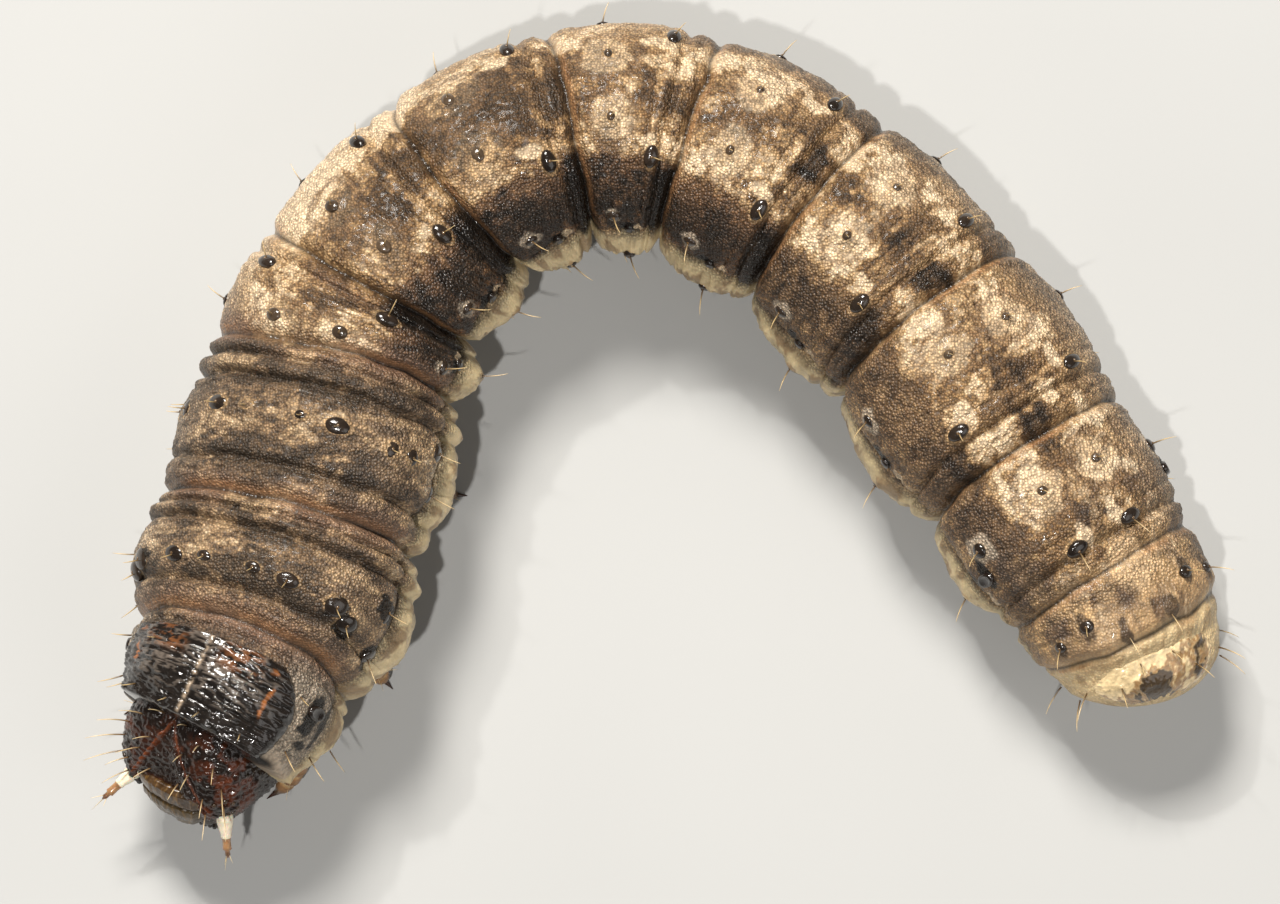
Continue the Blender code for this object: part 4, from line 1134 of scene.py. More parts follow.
def side_marks(skin, colour):
    """Dark pockets, crescents and cream patches at the spiracles, and streaks on the collar."""
    for number, place, angle, _, _ in spiracles():
        side = side_of(angle)
        colour = lay_mark(skin, colour, SPIRACLE_POCKET, number, place - 0.04, angle - side * 2)
        colour = lay_mark(skin, colour, CRESCENT, number, place - 0.03, side * CRESCENT_ANGLE)
        if number:
            colour = lay_mark(skin, colour, CRESCENT_PATCH, number, place + 0.13,
                              side * (CRESCENT_ANGLE - 4))
    for place, angle, along, around in COLLAR_STREAKS:
        streak = COLLAR_STREAK._replace(along=along, around=around)
        for side in (1, -1):
            colour = lay_mark(skin, colour, streak, 0, place, side * angle)
    return colour


def false_feet():
    """The false legs: four pairs under the abdomen, then the pair at the tail."""
    feet = [Foot(number, PROLEG_PLACE, side * PROLEG_ANGLE[side], PROLEG_RADIUS, PROLEG_REACH[side], 0.0)
            for number in PROLEG_SEGMENTS for side in (1, -1)]
    return feet + [Foot(LAST_SEGMENT, ANAL_PLACE, side * ANAL_ANGLE, ANAL_RADIUS, ANAL_REACH, ANAL_STEP)
                   for side in (1, -1)]


def side_of(angle):
    """One on the animal's left and minus one on its right."""
    return 1 if angle > 0 else -1


def place_foot(foot):
    """Root of a false leg on the skin, the middle of its sole, and the level ways beside it."""
    station = station_of(foot.segment, foot.place)
    base = surface(station, foot.angle)
    left, along = level_ways(station)
    sole = base + side_of(foot.angle) * foot.reach * left + foot.stride * along
    sole[2] = 0.0
    return base, sole, left, along


def pull_foot(points, foot):
    """Draw a round patch of the skin down to a small flat on the floor."""
    base, sole, _, _ = place_foot(foot)
    distance = np.linalg.norm(points - base, axis=-1)
    weight = 1 - step(distance, foot.radius * 0.62, foot.radius * 1.45)
    target = sole + (points - base) * (0.95, 0.95, 0.0)
    ringed = 0.05 * np.sin(weight * 3 * 2 * pi) * weight * (1 - weight) * 4
    moved = points + (target - points) * weight[..., None]
    out = points - base
    out[..., 2] = 0
    out = out / np.maximum(np.linalg.norm(out, axis=-1, keepdims=True), 1e-6)
    return moved + out * ringed[..., None]


def build_skin():
    """One skin over every ring of the body and the false legs."""
    skin = Skin()
    lift = fine_relief(skin)
    mask = grain_mask(skin)
    lift = lift + 0.024 * mask * (0.5 - np.minimum(skin.from_grain, 0.7))
    points = surface(skin.station, skin.angle, lift)
    for foot in false_feet():
        points = pull_foot(points, foot)
    points[..., 2] = np.maximum(points[..., 2], 0)
    colours = skin_colours(skin)
    glossy = 1 - step(colours.max(axis=-1), 0.015, 0.045)
    rough = 0.35 + 0.2 * skin.cloud(2, 301, 2) - 0.14 * glossy - 0.12 * bell(skin.to_fold, 0.25)
    rough = rough + 0.3 * (1 - step(skin.station, 0, 0.12))
    rows, columns = skin.shape
    piece = mesh_object("skin", points.reshape(-1, 3), tube_faces(rows, columns), skin_material(),
                        colours.reshape(-1, 3), {"grain": mask, "rough": rough})
    names = [segment.name for segment in SEGMENTS]
    names += [f"proleg_{number - 2}_{side}" for number in PROLEG_SEGMENTS for side in ("left", "right")]
    names += ["proleg_anal_left", "proleg_anal_right"]
    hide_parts(*names)


def build_plates(shell):
    """The small hard plates that carry the bristles."""
    parts = Parts()
    for number in range(1, len(SEGMENTS) - 1):
        for plate in plates_of(number):
            station = station_of(number, plate.place)
            along, around, out = skin_frame(station, plate.angle)
            centre = surface(station, plate.angle, 0.05)
            tone = rng.uniform(0.7, 1.4)
            small = number > 2 and abs(plate.angle) < 25 and plate.place < 0.5
            colour = np.array((0.05, 0.033, 0.02) if small else (0.016, 0.0105, 0.007)) * tone
            rise = 0.06 + 0.25 * plate.around
            growth = THORAX_PLATE_GROWTH if number < 3 else PLATE_GROWTH
            if small and number < 6:
                growth = SMALL_PLATE_GROWTH
            dome(parts, centre, along, around, out, plate.along * growth, plate.around * growth,
                 rise, 0.16, colour)
            dome(parts, centre + out * (rise - 0.02), along, around, out, 0.045, 0.045, 0.045, 0.05,
                 (0.09, 0.05, 0.02), 3, 12)
    piece = parts.build("bristle_plates", shell)


def build_spiracles(shell):
    """Breathing holes: a raised dark rim round a sunken black slit."""
    parts = Parts()
    for number, place, angle, long, wide in spiracles():
        station = station_of(number, place)
        along, around, out = skin_frame(station, angle)
        centre = surface(station, angle)
        rings = []
        for share, height in SPIRACLE_RINGS:
            for turn in 2 * pi * np.arange(SPIRACLE_SIDES) / SPIRACLE_SIDES:
                spread = wide * along * cos(turn) + long * around * sin(turn)
                rings.append(centre + out * height + share * spread)
        parts.add(np.array(rings), tube_faces(len(SPIRACLE_RINGS), SPIRACLE_SIDES),
                  (0.012, 0.008, 0.006))
    piece = parts.build("spiracles", shell)


def bristle(parts, root, way, bow, length, thick, base_colour, tip_colour, spot):
    """One thin, bent, tapered bristle, with its patch of the map at a spot of the unwrapped skin."""
    rows, sides = 9, 6
    share = np.linspace(0, 1, rows)
    way = way / np.linalg.norm(way)
    path = root + np.outer(share * length, way) + np.outer(share ** 2 * length, bow)
    radii = thick * (1 - 0.8 * share ** 1.3)
    colours = base_colour + (tip_colour - base_colour) * step(share, 0.1, 0.7)[:, None]
    colours = np.repeat(colours, sides, axis=0)
    across = np.tile(np.arange(sides) / sides - 0.5, rows)
    patch = np.array(spot) + PATCH_SIZE * np.column_stack((across, np.repeat(share, sides) - 0.5))
    parts.add(tube_points(path, radii, sides), tube_faces(rows, sides), colours, patch)


def build_bristles(material):
    """Single bristles on the plates, the shields and the tail."""
    parts = Parts()
    golden, dark = np.array((0.62, 0.45, 0.22)), np.array((0.1, 0.055, 0.02))
    roots = []
    for number in range(len(SEGMENTS)):
        roots += [(number, plate.place, plate.angle, plate.bristle) for plate in plates_of(number)]
        for place, angle, length in {0: COLLAR_BRISTLES, 12: TAIL_BRISTLES}.get(number, ()):
            roots += [(number, place, side * angle, length) for side in (1, -1)]
    for number, place, angle, length in roots:
        station = station_of(number, place)
        along, around, out = skin_frame(station, angle)
        lean = THORAX_LEAN if number < 3 else ABDOMEN_LEAN
        way = out + along * lean + around * rng.uniform(-0.12, 0.12)
        bow = along * BRISTLE_BOW[0] + out * BRISTLE_BOW[1]
        root = surface(station, angle) + out * PLATE_RISE
        spot = (station / BODY_LENGTH, angle / 360 + 0.5)
        bristle(parts, root, way, bow, length, BRISTLE_THICK, dark, golden, spot)
    piece = parts.build("bristles", material)


class Shield:
    """Grid of a shield on the back of a segment, with its noises."""

    def __init__(self, number, zone, flat_front, coarse_scale, fine_scale):
        first, last, widest = zone
        self.part, turn = np.meshgrid(np.linspace(0, 1, SHIELD_ROWS), np.linspace(-1, 1, SHIELD_COLUMNS),
                                      indexing="ij")
        self.station = station_of(number, first + (last - first) * self.part)
        width = widest * (1 - 0.3 * np.clip(2 * self.part - 1, 0 if flat_front else -1, 1) ** 2)
        width = width * (1 - 0.08 * (1 - step(self.part, 0, 0.3)))
        self.angle = turn * width
        self.edge = np.minimum(np.minimum(self.part, 1 - self.part) * 2.2 * LENGTHS[number],
                               (1 - np.abs(turn)) * 2.4)
        self.space = np.stack((self.station, self.angle * 0.045, turn * 0), axis=-1)
        self.wrinkles = 1 - np.abs(2 * self.cloud(coarse_scale, 401 + number, 3) - 1)
        self.fine = self.cloud(fine_scale, 405 + number, 3)
        self.swell = self.cloud((1.2, 0.8, 1), 407 + number, 2)
        self.stains = self.cloud((1.5, 1.2, 1), 411 + number, 3)

    def cloud(self, scale, seed, octaves):
        """Layered noise over the shield, finer with a larger scale."""
        return layered(self.space * scale, seed, octaves)

    def lift(self, rise, rim, roughness):
        """Height over the skin, rooted at the rim."""
        lift = rise * step(self.edge, 0, rim) - 0.12 * (1 - step(self.edge, -0.01, 0.08))
        rough = 0.13 * (self.wrinkles - 0.7) + 0.07 * (self.fine - 0.5) + 0.2 * (self.swell - 0.5)
        return lift + roughness * rough * step(self.edge, 0, 0.2)


def shield_piece(name, shield, lift, colour, shell):
    upper = surface(shield.station, shield.angle, lift)
    lower = surface(shield.station, shield.angle, -0.2)
    piece = closed_sheet(name, upper, lower, colour, shell)


def build_neck_shield(shell):
    """Black wrinkled shield with a pale midline, rusty stains, and painted sheen on its wrinkle crests."""
    shield = Shield(0, NECK_SHIELD, True, (9.5, 1.7, 1), (18, 5, 1))
    part, angle, fine, wrinkles = shield.part, shield.angle, shield.fine, shield.wrinkles
    aside = np.abs(angle)
    midline = angle - 4 * (part - 0.5) - 3 * (shield.swell - 0.5)
    lift = shield.lift(SHIELD_RISE, 0.3, 1) - 0.04 * bell(midline, 2)
    colour = np.broadcast_to(np.array(SHIELD_BLACK), shield.space.shape).copy()
    ragged = band(part, 0.12, 1.1, 0.08) * step(fine, 0.3, 0.5)
    colour = mix(colour, (0.36, 0.27, 0.19), 0.85 * ragged * bell(midline, 1.1))
    # Grey on the highest wrinkle crests of the rear half: painted sheen.
    painted_crest_sheen = band(part, 0.35, 1.1, 0.2) * step(wrinkles, 0.84, 0.96) * (1 - step(aside, 30, 55))
    colour = mix(colour, (0.13, 0.105, 0.085), 0.7 * painted_crest_sheen)
    rear = band(part, 0.72, 0.95, 0.06) * band(aside, 12, 32, 6)
    rust = step(shield.stains + 1.3 * (fine - 0.5) + 0.3 * (wrinkles - 0.7), 0.48, 0.62)
    colour = mix(colour, (0.15, 0.055, 0.018), 0.8 * rear * rust)
    fork = bell(np.abs(aside - 41 - 12 * np.abs(part - 0.6)), 2.2) * bell(part - 0.6, 0.2)
    colour = mix(colour, (0.25, 0.085, 0.022), 0.85 * step(fork * (0.35 + 1.3 * fine), 0.5, 0.8))
    corner = bell(aside - 40, 4) * bell(part - 0.86, 0.06)
    colour = mix(colour, (0.2, 0.07, 0.02), 0.8 * step(corner * (0.3 + 1.3 * fine), 0.55, 0.8))
    shield_piece("neck_shield", shield, lift, colour, shell)


def build_tail_shield(shell):
    """Smooth cream shield with a dark wet stain, brown at its edge."""
    shield = Shield(LAST_SEGMENT, TAIL_SHIELD, False, (3, 2, 1), (7, 7, 1))
    angle, stains = shield.angle, shield.stains
    cream = shaded(TAIL_CREAM, 0.75 + 0.5 * stains)
    drift = 40 * (shield.cloud((1.6, 1.6, 1), 415, 3) - 0.5)
    sag = shield.part + 0.5 * (shield.cloud((2.2, 2.2, 1), 419, 3) - 0.5)
    wet = bell(angle + drift - 4, 24) * step(sag, 0.2, 0.5)
    wet = np.maximum(wet, 0.85 * bell(angle + drift + 34, 16) * band(sag, 0.2, 0.8, 0.12))
    cover = wet + 0.9 * (shield.fine - 0.5) + 0.9 * (stains - 0.5)
    colour = mix(cream, (0.02, 0.009, 0.004), 0.95 * step(cover, 0.34, 0.7))
    colour = mix(colour, (0.17, 0.075, 0.02), 0.8 * band(cover, 0.18, 0.5, 0.13))
    shield_piece("tail_shield", shield, shield.lift(0.05, 0.6, 0.35), colour, shell)


# Head

def head_axes():
    """Unit vectors of the face frame in the world."""
    heading, pitch, roll = radians(HEAD_HEADING), radians(HEAD_PITCH), radians(HEAD_ROLL)
    face = np.array((-cos(heading) * cos(pitch), -sin(heading) * cos(pitch), sin(pitch)))
    left = np.array((sin(heading), -cos(heading), 0.0))
    crown = np.cross(face, left)
    return face, left * cos(roll) + crown * sin(roll), crown * cos(roll) - left * sin(roll)


def head_centre():
    heading = radians(START_HEADING)
    neck = np.array((*START, HEAD_CENTRE))
    forward = np.array((-cos(heading), -sin(heading), 0.0))
    left = np.array((sin(heading), -cos(heading), 0.0))
    return neck + forward * HEAD_FORWARD + left * HEAD_SIDE


FACE, LEFT, CROWN = head_axes()
HEAD_MIDDLE = head_centre()


def from_head(points):
    """World places of points given in the face frame."""
    points = np.asarray(points, float)
    return HEAD_MIDDLE + points[..., :1] * FACE + points[..., 1:2] * LEFT + points[..., 2:] * CROWN


def head_surface(azimuth, height):
    """Points of the capsule for an azimuth from the face and a height angle, in degrees."""
    azimuth, height = np.radians(azimuth), np.radians(height)
    x = np.cos(height) * np.cos(azimuth)
    y = np.cos(height) * np.sin(azimuth)
    z = np.sin(height)
    depth = np.where(x > 0, HEAD_FACE, HEAD_BACK)
    tall = np.where(z > 0, HEAD_TOP, HEAD_BOTTOM)
    total = (np.abs(x / depth) ** (HEAD_FULLNESS + 0.5) + np.abs(y / HEAD_HALF_WIDTH) ** HEAD_FULLNESS
             + np.abs(z / tall) ** HEAD_FULLNESS)
    radius = total ** (-1 / HEAD_FULLNESS)
    y_place, z_place = radius * y, radius * z
    lobes = LOBE_RISE * bell(np.abs(y_place) - 0.95, 0.55) * (z_place > -2)
    radius = radius * (1 + lobes) - frons_mask(y_place, z_place) * FRONS_DEPTH * (x > 0)
    return np.stack((radius * x, radius * y, radius * z), axis=-1)


def face_edge(y, z):
    """Distance inside the forehead's triangle of seams, which is turned a little to the left."""
    down = (FRONS_TOP - z) / (FRONS_TOP - FRONS_BASE)
    return down * FACE_WIDTH - np.abs(y - FACE_SHIFT * np.clip(down, 0, 1.5))


def frons_mask(y, z):
    down = np.clip((FRONS_TOP - z) / (FRONS_TOP - FRONS_BASE), 0, 1)
    return np.clip((down * FRONS_HALF_WIDTH - np.abs(y)) / 0.12, 0, 1) * (z > FRONS_BASE)


def build_head(shell):
    """Head capsule with its seams, lobes, cheeks and the notch for the mouth."""
    rows, columns = ((220, 320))
    height, azimuth = np.meshgrid(np.linspace(-86, 86, rows), np.linspace(0, 360, columns, endpoint=False),
                                  indexing="ij")
    points = head_surface(azimuth, height)
    x, y, z = points[..., 0], points[..., 1], points[..., 2]
    front = step(x, -0.2, 0.3)
    inside = face_edge(y, z)
    seam = bell(inside, 0.03) * front * step(z, FRONS_BASE - 0.1, FRONS_BASE + 0.1) * (z < FRONS_TOP)
    outer_seam = bell(inside + 0.14, 0.025) * front * step(z, FRONS_BASE, FRONS_BASE + 0.3) * (z < FRONS_TOP)
    middle = bell(y, 0.025) * step(z, FRONS_TOP - 0.15, FRONS_TOP)
    pebble_field = grains(points / 0.15, 501)
    coarse = layered(points * 2.2, 511, 3)
    crinkle = 1 - np.abs(2 * layered(points * (4, 7, 4), 515, 3) - 1)
    push = 0.09 * (0.5 - pebble_field) + 0.07 * (coarse - 0.5) + 0.07 * (crinkle - 0.7)
    push = push - 0.06 * seam + 0.035 * bell(inside + 0.07, 0.04) * front * (z < FRONS_TOP)
    push = push - 0.03 * outer_seam - 0.09 * middle
    push = push + 0.05 * bell(inside - 0.25, 0.2) * front * (z > FRONS_BASE)
    unit = points / np.linalg.norm(points, axis=-1, keepdims=True)
    points = points + unit * push[..., None]
    x, y, z = points[..., 0], points[..., 1], points[..., 2]
    slope_z = [point[1] for point in NOTCH_SLOPE][::-1]
    slope_x = [point[0] for point in NOTCH_SLOPE][::-1]
    limit = np.interp(z, slope_z, slope_x)
    beside = step(np.abs(y), NOTCH_HALF_WIDTH - 0.1, NOTCH_HALF_WIDTH + 0.06)
    above = step(z, NOTCH_TOP - 0.05, NOTCH_TOP + 0.06)
    points[..., 0] = x + (np.minimum(x, limit) - x) * ((1 - beside) * (1 - above))
    blotch = layered(points * 3.2, 521, 4)
    net = step(blotch, 0.46, 0.6)
    colour = np.broadcast_to(np.array((0.009, 0.005, 0.0035)), points.shape).copy()
    red = np.array((0.08, 0.018, 0.005))
    cheeks = front * (0.3 + 0.6 * step(np.abs(y), 0.8, 1.6))
    colour = mix(colour, red, 0.7 * net * cheeks)
    between = bell(inside + 0.06, 0.045) * front * band(z, FRONS_BASE, FRONS_TOP + 0.1, 0.1)
    colour = mix(colour, (0.12, 0.03, 0.009), 0.75 * between * (0.4 + 0.8 * crinkle))
    frons = step(inside, 0.02, 0.1) * front * step(z, FRONS_BASE, FRONS_BASE + 0.1)
    colour = mix(colour, (0.012, 0.007, 0.005), frons * 0.8)
    base = band(z, FRONS_BASE - 0.25, FRONS_BASE + 0.25, 0.1) * (np.abs(y) < 1.1) * front
    colour = mix(colour, (0.13, 0.035, 0.01), 0.7 * base)
    piece = mesh_object("head_capsule", from_head(points).reshape(-1, 3), tube_faces(rows, columns),
                        shell, colour.reshape(-1, 3))
    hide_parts("head")


def head_spot(y, z):
    """Place and outward direction on the front of the capsule above a point of the face plane."""
    azimuths = np.linspace(-110, 110, 221)
    heights = np.linspace(-70, 80, 151)
    height, azimuth = np.meshgrid(heights, azimuths, indexing="ij")
    points = head_surface(azimuth, height)
    points = np.where(points[..., :1] > -0.6, points, 99)
    nearest = np.argmin((points[..., 1] - y) ** 2 + (points[..., 2] - z) ** 2)
    spot = points.reshape(-1, 3)[nearest]
    scale = np.array((1 / HEAD_FACE ** 2, 1 / HEAD_HALF_WIDTH ** 2, 1 / HEAD_TOP ** 2))
    out = spot * scale
    out = out / np.linalg.norm(out)
    return from_head(spot), out[0] * FACE + out[1] * LEFT + out[2] * CROWN


def build_head_details(eye_material, hair_material):
    """Simple eyes on the cheeks and the bristles of the head."""
    eyes, hairs = Parts(), Parts()
    for sign in (1, -1):
        for turn in (-100, -55, -10, 35, 80, 150):
            y = sign * (1.62 + 0.17 * cos(radians(turn)))
            z = -0.28 + 0.24 * sin(radians(turn))
            place, out = head_spot(y, z)
            along = np.cross(out, CROWN)
            along = along / np.linalg.norm(along)
            dome(eyes, place, along, np.cross(out, along), out, 0.065, 0.065, 0.055, 0.04,
                 (0.035, 0.02, 0.01), 5, 16)
        for azimuth, height, length in HEAD_BRISTLES:
            place = from_head(head_surface(sign * azimuth, height))
            out = place - HEAD_MIDDLE
            way = out / np.linalg.norm(out) + HEAD_BRISTLE_LEAN * FACE
            bristle(hairs, place, way, -0.2 * CROWN, length, BRISTLE_THICK,
                    np.array((0.16, 0.09, 0.04)), np.array((0.66, 0.5, 0.27)),
                    (sign * azimuth / 360 + 0.5, height / 180 + 0.5))
    piece = eyes.build("simple_eyes", eye_material)
    piece = hairs.build("head_bristles", hair_material)


def lip_noise(part, side, across, down, seed):
    """Layered noise over the lip, finer with larger scales."""
    return layered(np.stack((side * across, part * down, side * 0), -1), seed, 3)


def build_labrum(shell):
    """The plate above the mouth and the notched upper lip below it."""
    part, side = np.meshgrid(np.linspace(0, 1, LIP_ROWS), np.linspace(-1, 1, LIP_COLUMNS), indexing="ij")
    top = LABRUM_TOP + LIP_RISE
    z = top + (LABRUM_BOTTOM - top) * part
    z = z + 0.16 * step(part, 0.8, 1) * bell(side, 0.22) - 0.06 * side ** 2 * part + 0.05 * part * side ** 4
    half = (LABRUM_HALF_WIDTH + 0.14) * (1 - 0.1 * part - 0.35 * part ** 5)
    x = LABRUM_FACE + LIP_FORWARD - LABRUM_SLOPE * part ** 1.5 - (LABRUM_BULGE - 0.08) * side ** 2
    seam = bell(part - 0.4, 0.03)
    swell = lip_noise(part, side, 4, 6, 601)
    x = x - 0.07 * seam + 0.05 * bell(part - 0.6, 0.12) + 0.03 * (swell - 0.5)
    edge = np.minimum(np.minimum(part, 1 - part) * 3, (1 - np.abs(side)) * 2)
    grooves = lip_noise(part, side, 9, 2.5, 605)
    x = x - 0.1 * (1 - step(edge, 0, 0.25)) + LIP_RIDGE * grooves
    front = from_head(np.stack((x, side * half, z), axis=-1))
    back = from_head(np.stack((x - LABRUM_THICK * 0.7, side * half, z), axis=-1))
    shade = 0.3 + 0.7 * lip_noise(part, side, 3, 4, 611)
    colour = np.where((part < 0.4)[..., None], CLYPEUS_BROWN, LIP_BROWN) * shade[..., None]
    ridges = 1 - np.abs(2 * grooves - 1)
    colour = mix(colour, (0.15, 0.08, 0.02), 0.6 * step(ridges, 0.8, 0.97))
    colour = mix(colour, (0.01, 0.007, 0.005), 0.8 * seam + 0.6 * step(part, 0.9, 1))
    piece = closed_sheet("upper_lip", front, back, colour, shell)
    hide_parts("labrum")


def lump(parts, centre, size, colour, bumps=0.0, rows=18, columns=28):
    """A rounded body in the frame of the face."""
    height, turn = np.meshgrid(np.radians(np.linspace(-85, 85, rows)),
                               2 * pi * np.arange(columns) / columns, indexing="ij")
    points = np.stack((centre[0] + size[0] * np.cos(height) * np.cos(turn),
                       centre[1] + size[1] * np.cos(height) * np.sin(turn),
                       centre[2] + size[2] * np.sin(height)), axis=-1)
    points = points + bumps * (layered(points * 5, 701, 2) - 0.5)[..., None]
    parts.add(from_head(points).reshape(-1, 3), tube_faces(rows, columns), colour)


def build_mouth(shell, brown):
    """Jaws with toothed edges, and the lower mouthparts with their feelers."""
    for side, sign in (("left", 1), ("right", -1)):
        parts = Parts()
        centre = np.array(MANDIBLE_CENTRE) * (1, sign, 1)
        lump(parts, centre, MANDIBLE_SIZE, (0.02, 0.012, 0.008), 0.05)
        for tooth in range(5):
            place = centre + np.array((0.2 - 0.03 * tooth, sign * (-0.26 + 0.12 * tooth), -0.46))
            lump(parts, place, (0.1, 0.07, 0.14), (0.01, 0.006, 0.004), 0.0, 8, 12)
        piece = parts.build(f"jaw_{side}", shell)
        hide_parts(f"mandible_{side}")
    parts = Parts()
    lump(parts, MOUTH_CENTRE, MOUTH_SIZE, (0.26, 0.15, 0.075), 0.12, 30, 44)
    lump(parts, MAXILLA_CENTRE, MAXILLA_SIZE, (0.2, 0.11, 0.05), 0.12, 30, 44)
    for y, reach, radius in ((-0.5, 0.62, 0.2), (0.5, 0.62, 0.2), (0.0, 0.56, 0.16)):
        root = from_head(np.array((MAXILLA_CENTRE[0] + 0.3, y, MAXILLA_CENTRE[2] - 0.1)))
        way = FACE * 0.8 - CROWN + LEFT * y * 0.3
        way = way / np.linalg.norm(way)
        share = np.array((0, 0.2, 0.42, 0.46, 0.5, 0.7, 0.74, 0.78, 0.95, 1.0))
        thick = radius * np.array((1, 1, 0.95, 0.8, 0.75, 0.7, 0.55, 0.45, 0.4, 0.2))
        parts.add(tube_points(root + np.outer(share * reach, way), thick, 14), tube_faces(10, 14),
                  (0.14, 0.075, 0.035))
    piece = parts.build("lower_mouth", brown)
    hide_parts("maxillae_labium")


def build_feelers(material, hair_material):
    """Feelers: a pale soft base, two brown joints, and bristles at the tip."""
    hairs = Parts()
    for side, sign in (("left", 1), ("right", -1)):
        x, y, z = ANTENNA_WAY[side]
        way = FACE * x + LEFT * sign * y + CROWN * z
        way = way / np.linalg.norm(way)
        x, y, z = ANTENNA_ROOT[side]
        root = from_head(np.array((x, sign * y, z)))
        share, thick = np.array(FEELER_RINGS).T
        path = root + np.outer(share * ANTENNA_LENGTH, way)
        parts = Parts()
        parts.add(tube_points(path, thick * FEELER_SLIM, FEELER_SIDES),
                  tube_faces(len(share), FEELER_SIDES),
                  np.repeat(FEELER_COLOURS, FEELER_SIDES, axis=0))
        end = path[-5]
        for turn in (0, 2.1, 4.2):
            spread = 0.4 * (cos(turn) * LEFT + sin(turn) * CROWN)
            bristle(hairs, end, way + spread, spread * 0.2, 0.35 + 0.12 * turn / 2, 0.014,
                    np.array((0.3, 0.2, 0.1)), np.array((0.7, 0.55, 0.3)),
                    (0.5 + 0.25 * sign, 0.1 + turn / 5))
        piece = parts.build(f"feeler_{side}", material)
        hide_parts(f"antenna_{side}")
    piece = hairs.build("feeler_bristles", hair_material)


# Legs

def bend(start, out, end, share):
    """Points on the curve that leaves start along out and comes down on end."""
    corner = start + out
    share = share[:, None]
    return (1 - share) ** 2 * start + 2 * share * (1 - share) * corner + share ** 2 * end


def leg_path(leg, share):
    """Points along a true leg, from under the skin down to the floor."""
    station = station_of(leg.segment, leg.place)
    _, _, out = skin_frame(station, leg.angle)
    start = surface(station, leg.angle) - out * 0.15
    left, ahead = level_ways(station)
    end = start + out * 0.45 + side_of(leg.angle) * leg.reach * left + leg.step * ahead
    end[2] = 0.06
    return bend(start, out * (0.15 + 0.35 * start[2]), end, share)


def bells(share, places_and_spreads):
    """Sum of bells along a leg."""
    return sum(bell(share - place, spread) for place, spread in places_and_spreads)


def leg_colours(share, joints):
    """Amber leg with a pale base and pale joints, dark at the end."""
    amber, pale, dark = (np.array(colour) for colour in (LEG_AMBER, LEG_PALE, LEG_DARK))
    shade = step(share, 0.05, 0.3)[:, None]
    colours = pale * (1 - shade) + amber * shade
    colours = colours + (pale - colours) * 0.7 * joints[:, None]
    return colours + (dark - colours) * step(share, 0.75, 1)[:, None]


def add_claw(parts, tip, way):
    """A dark hooked claw at the end of a leg."""
    hook = np.linspace(0, 1, CLAW_RINGS)
    claw = tip + np.outer(hook * 0.28, way)
    claw[:, 2] = 0.09 * (1 - hook ** 2) + 0.012
    parts.add(tube_points(claw, 0.075 * (1 - 0.88 * hook), CLAW_SIDES),
              tube_faces(CLAW_RINGS, CLAW_SIDES), (0.03, 0.012, 0.006))


def build_legs(shell, hair_material):
    """True legs: a soft base, ringed joints and a dark claw."""
    hairs = Parts()
    share = np.linspace(0, 1, LEG_RINGS)
    joints, bulges = bells(share, LEG_JOINTS), bells(share, LEG_BULGES)
    for leg in LEGS:
        path = leg_path(leg, share)
        radii = leg.thick * np.interp(share, np.linspace(0, 1, len(LEG_RADII)), LEG_RADII)
        radii = radii * (1 - 0.55 * step(share, 0.85, 1))
        radii = radii * (1 - 0.3 * joints + 0.08 * bulges)
        path[:, 2] = path[:, 2] + np.maximum(radii - path[:, 2], 0)
        parts = Parts()
        parts.add(tube_points(path, radii, LEG_SIDES), tube_faces(LEG_RINGS, LEG_SIDES),
                  np.repeat(leg_colours(share, joints), LEG_SIDES, axis=0))
        way = path[-1] - path[-4]
        way[2] = 0
        way = way / max(np.linalg.norm(way), 1e-6)
        add_claw(parts, path[-1], way)
        for place, turn in LEG_BRISTLES:
            spread = cos(turn) * np.cross(way, (0, 0, 1)) + abs(sin(turn)) * np.array((0, 0, 1)) * 0.5
            bristle(hairs, path[place], spread + 0.5 * way, way * 0.2, 0.45, 0.015,
                    np.array((0.2, 0.12, 0.05)), np.array((0.66, 0.5, 0.27)),
                    (leg.segment / 3 + leg.angle / 1000 + 0.2, place / LEG_RINGS))
        piece = parts.build("clawed_" + leg.name, shell)
        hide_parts(leg.name)
    piece = hairs.build("leg_bristles", hair_material)


def build_hooks(shell):
    """Rows of small hooks on the inner edge of each false leg's sole."""
    parts = Parts()
    share = np.linspace(0, 1, HOOK_RINGS)
    for foot in false_feet():
        _, sole, left, along = place_foot(foot)
        for number in range(HOOK_COUNT):
            turn = radians(HOOK_FIRST_TURN + HOOK_TURN * number)
            out = -side_of(foot.angle) * left * cos(turn) + along * sin(turn)
            root = sole + out * foot.radius * 0.78 + np.array((0, 0, 0.13))
            path = root + np.outer(share * 0.16, out) + np.outer(-0.1 * share ** 2, (0, 0, 1.0))
            parts.add(tube_points(path, 0.035 * (1 - 0.75 * share), HOOK_SIDES),
                      tube_faces(HOOK_RINGS, HOOK_SIDES), HOOK_COLOUR)
    piece = parts.build("foot_hooks", shell)


# Floor, lights and camera

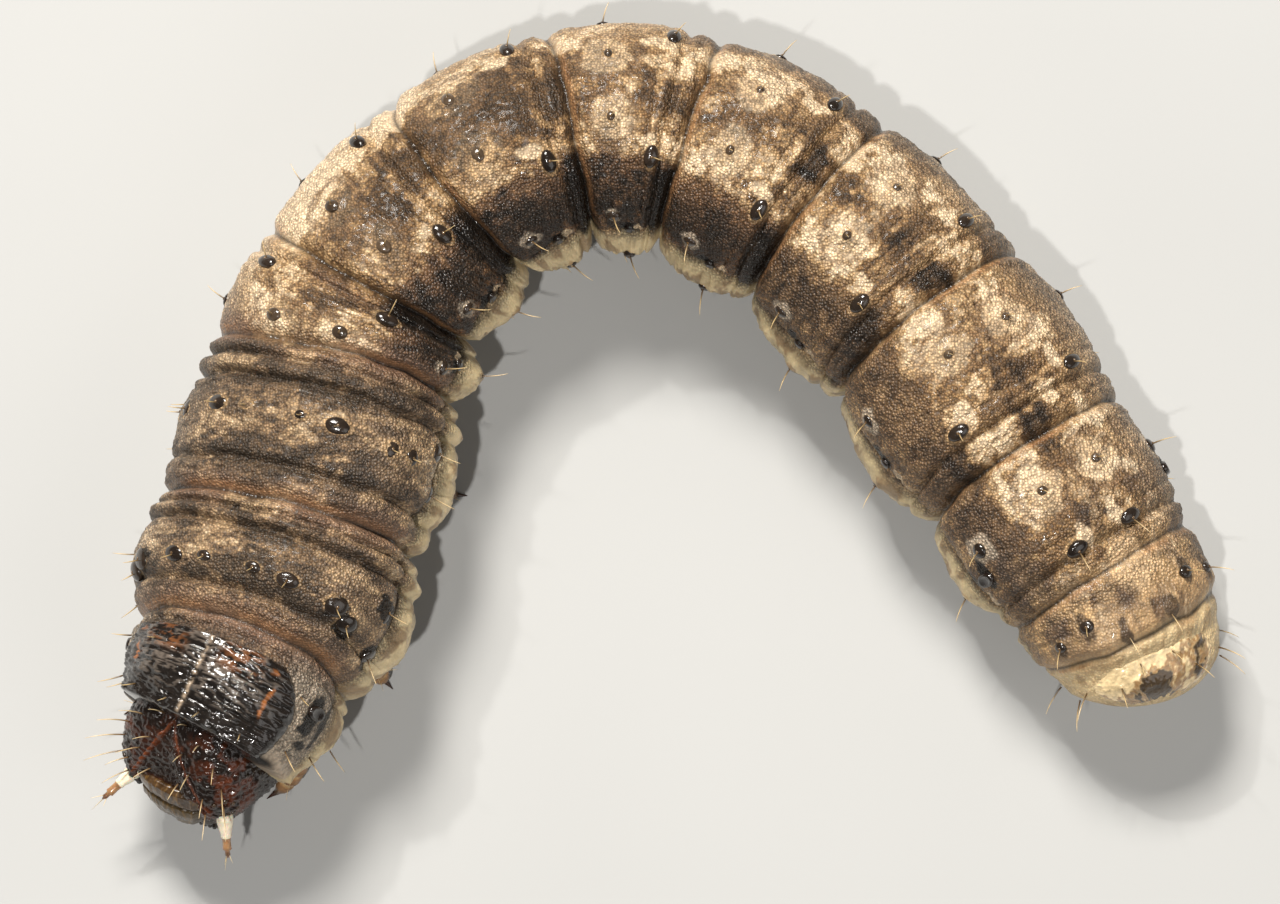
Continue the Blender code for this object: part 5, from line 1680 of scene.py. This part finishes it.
def build_floor():
    material, shader = new_material("floor", 0.8)
    grain = add_node(material, "ShaderNodeTexNoise", {"Vector": object_place(material), "Scale": 60.0})
    tone = add_node(material, "ShaderNodeMix", {0: grain.outputs["Fac"], 6: (0.31, 0.31, 0.304, 1),
                                                7: (0.35, 0.35, 0.343, 1)}, data_type="RGBA").outputs[2]
    join(material, tone, shader, "Base Color")
    mesh = bpy.data.meshes.new("floor")
    corners = [(x * FLOOR_REACH, y * FLOOR_REACH, 0) for x, y in ((-1, -1), (1, -1), (1, 1), (-1, 1))]
    mesh.from_pydata(corners, [], [(0, 1, 2, 3)])
    mesh.materials.append(material)
    floor = bpy.data.objects.new("floor", mesh)
    bpy.context.scene.collection.objects.link(floor)


def add_light(name, place, size, power, colour):
    """A square soft light that looks at the middle of the larva."""
    lamp = bpy.data.lights.new(name, "AREA")
    lamp.size = size
    lamp.energy = power
    lamp.color = colour
    light = bpy.data.objects.new(name, lamp)
    light.location = Vector(place)
    light.rotation_euler = (Vector((0, 0, 0.003)) - Vector(place)).to_track_quat("-Z", "Y").to_euler()
    bpy.context.scene.collection.objects.link(light)


def light_scene():
    add_light("key", (-0.05, 0.17, 0.25), 0.075, 1.5, (1.0, 0.965, 0.91))
    add_light("glint", (-0.05, -0.13, 0.34), 0.01, 0.95, (1.0, 0.98, 0.95))
    add_light("small", (-0.12, 0.22, 0.3), 0.012, 0.5, (1.0, 0.98, 0.95))
    add_light("fill", (0.22, -0.18, 0.22), 0.25, 0.3, (1.0, 0.98, 0.96))
    world = bpy.data.worlds.new("soft_room")
    world.use_nodes = True
    world.node_tree.nodes["Background"].inputs["Color"].default_value = (1.0, 0.985, 0.96, 1)
    world.node_tree.nodes["Background"].inputs["Strength"].default_value = 0.12
    bpy.context.scene.world = world
    bpy.context.scene.view_settings.view_transform = "Standard"


def place_camera():
    """The photograph's view: steeply down, with the larva's open side at the bottom."""
    camera = bpy.data.cameras.new("camera")
    camera.sensor_width = SENSOR_WIDTH
    camera.lens = SENSOR_WIDTH * CAMERA_DISTANCE / CAMERA_VIEW_WIDTH
    camera.clip_start = 0.005
    camera.clip_end = 5.0
    holder = bpy.data.objects.new("camera", camera)
    target = Vector(CAMERA_TARGET) * MM
    lift = radians(CAMERA_ELEVATION)
    holder.location = target + Vector((0, -cos(lift), sin(lift))) * CAMERA_DISTANCE * MM
    holder.rotation_euler = (target - holder.location).to_track_quat("-Z", "Y").to_euler()
    bpy.context.scene.collection.objects.link(holder)
    bpy.context.scene.camera = holder


def main():
    black_shell = shell_material("black_shell", 0.16, 5200.0, 0.5, 0.6)
    head_shell = shell_material("head_shell", 0.15, 6500.0, 0.4, 0.3)
    brown_shell = shell_material("brown_shell", 0.3, 5000.0, 0.3)
    leg_shell = shell_material("leg_shell", 0.32, 5000.0, 0.3)
    hair = bristle_material()
    build_floor()
    light_scene()
    place_camera()
    build_skin()
    build_plates(black_shell)
    build_spiracles(black_shell)
    build_bristles(hair)
    build_neck_shield(black_shell)
    build_tail_shield(black_shell)
    build_head(head_shell)
    build_head_details(black_shell, hair)
    build_labrum(brown_shell)
    build_mouth(head_shell, brown_shell)
    build_feelers(soft_material("feeler_skin", 0.3), hair)
    build_legs(leg_shell, hair)
    build_hooks(leg_shell)


main()
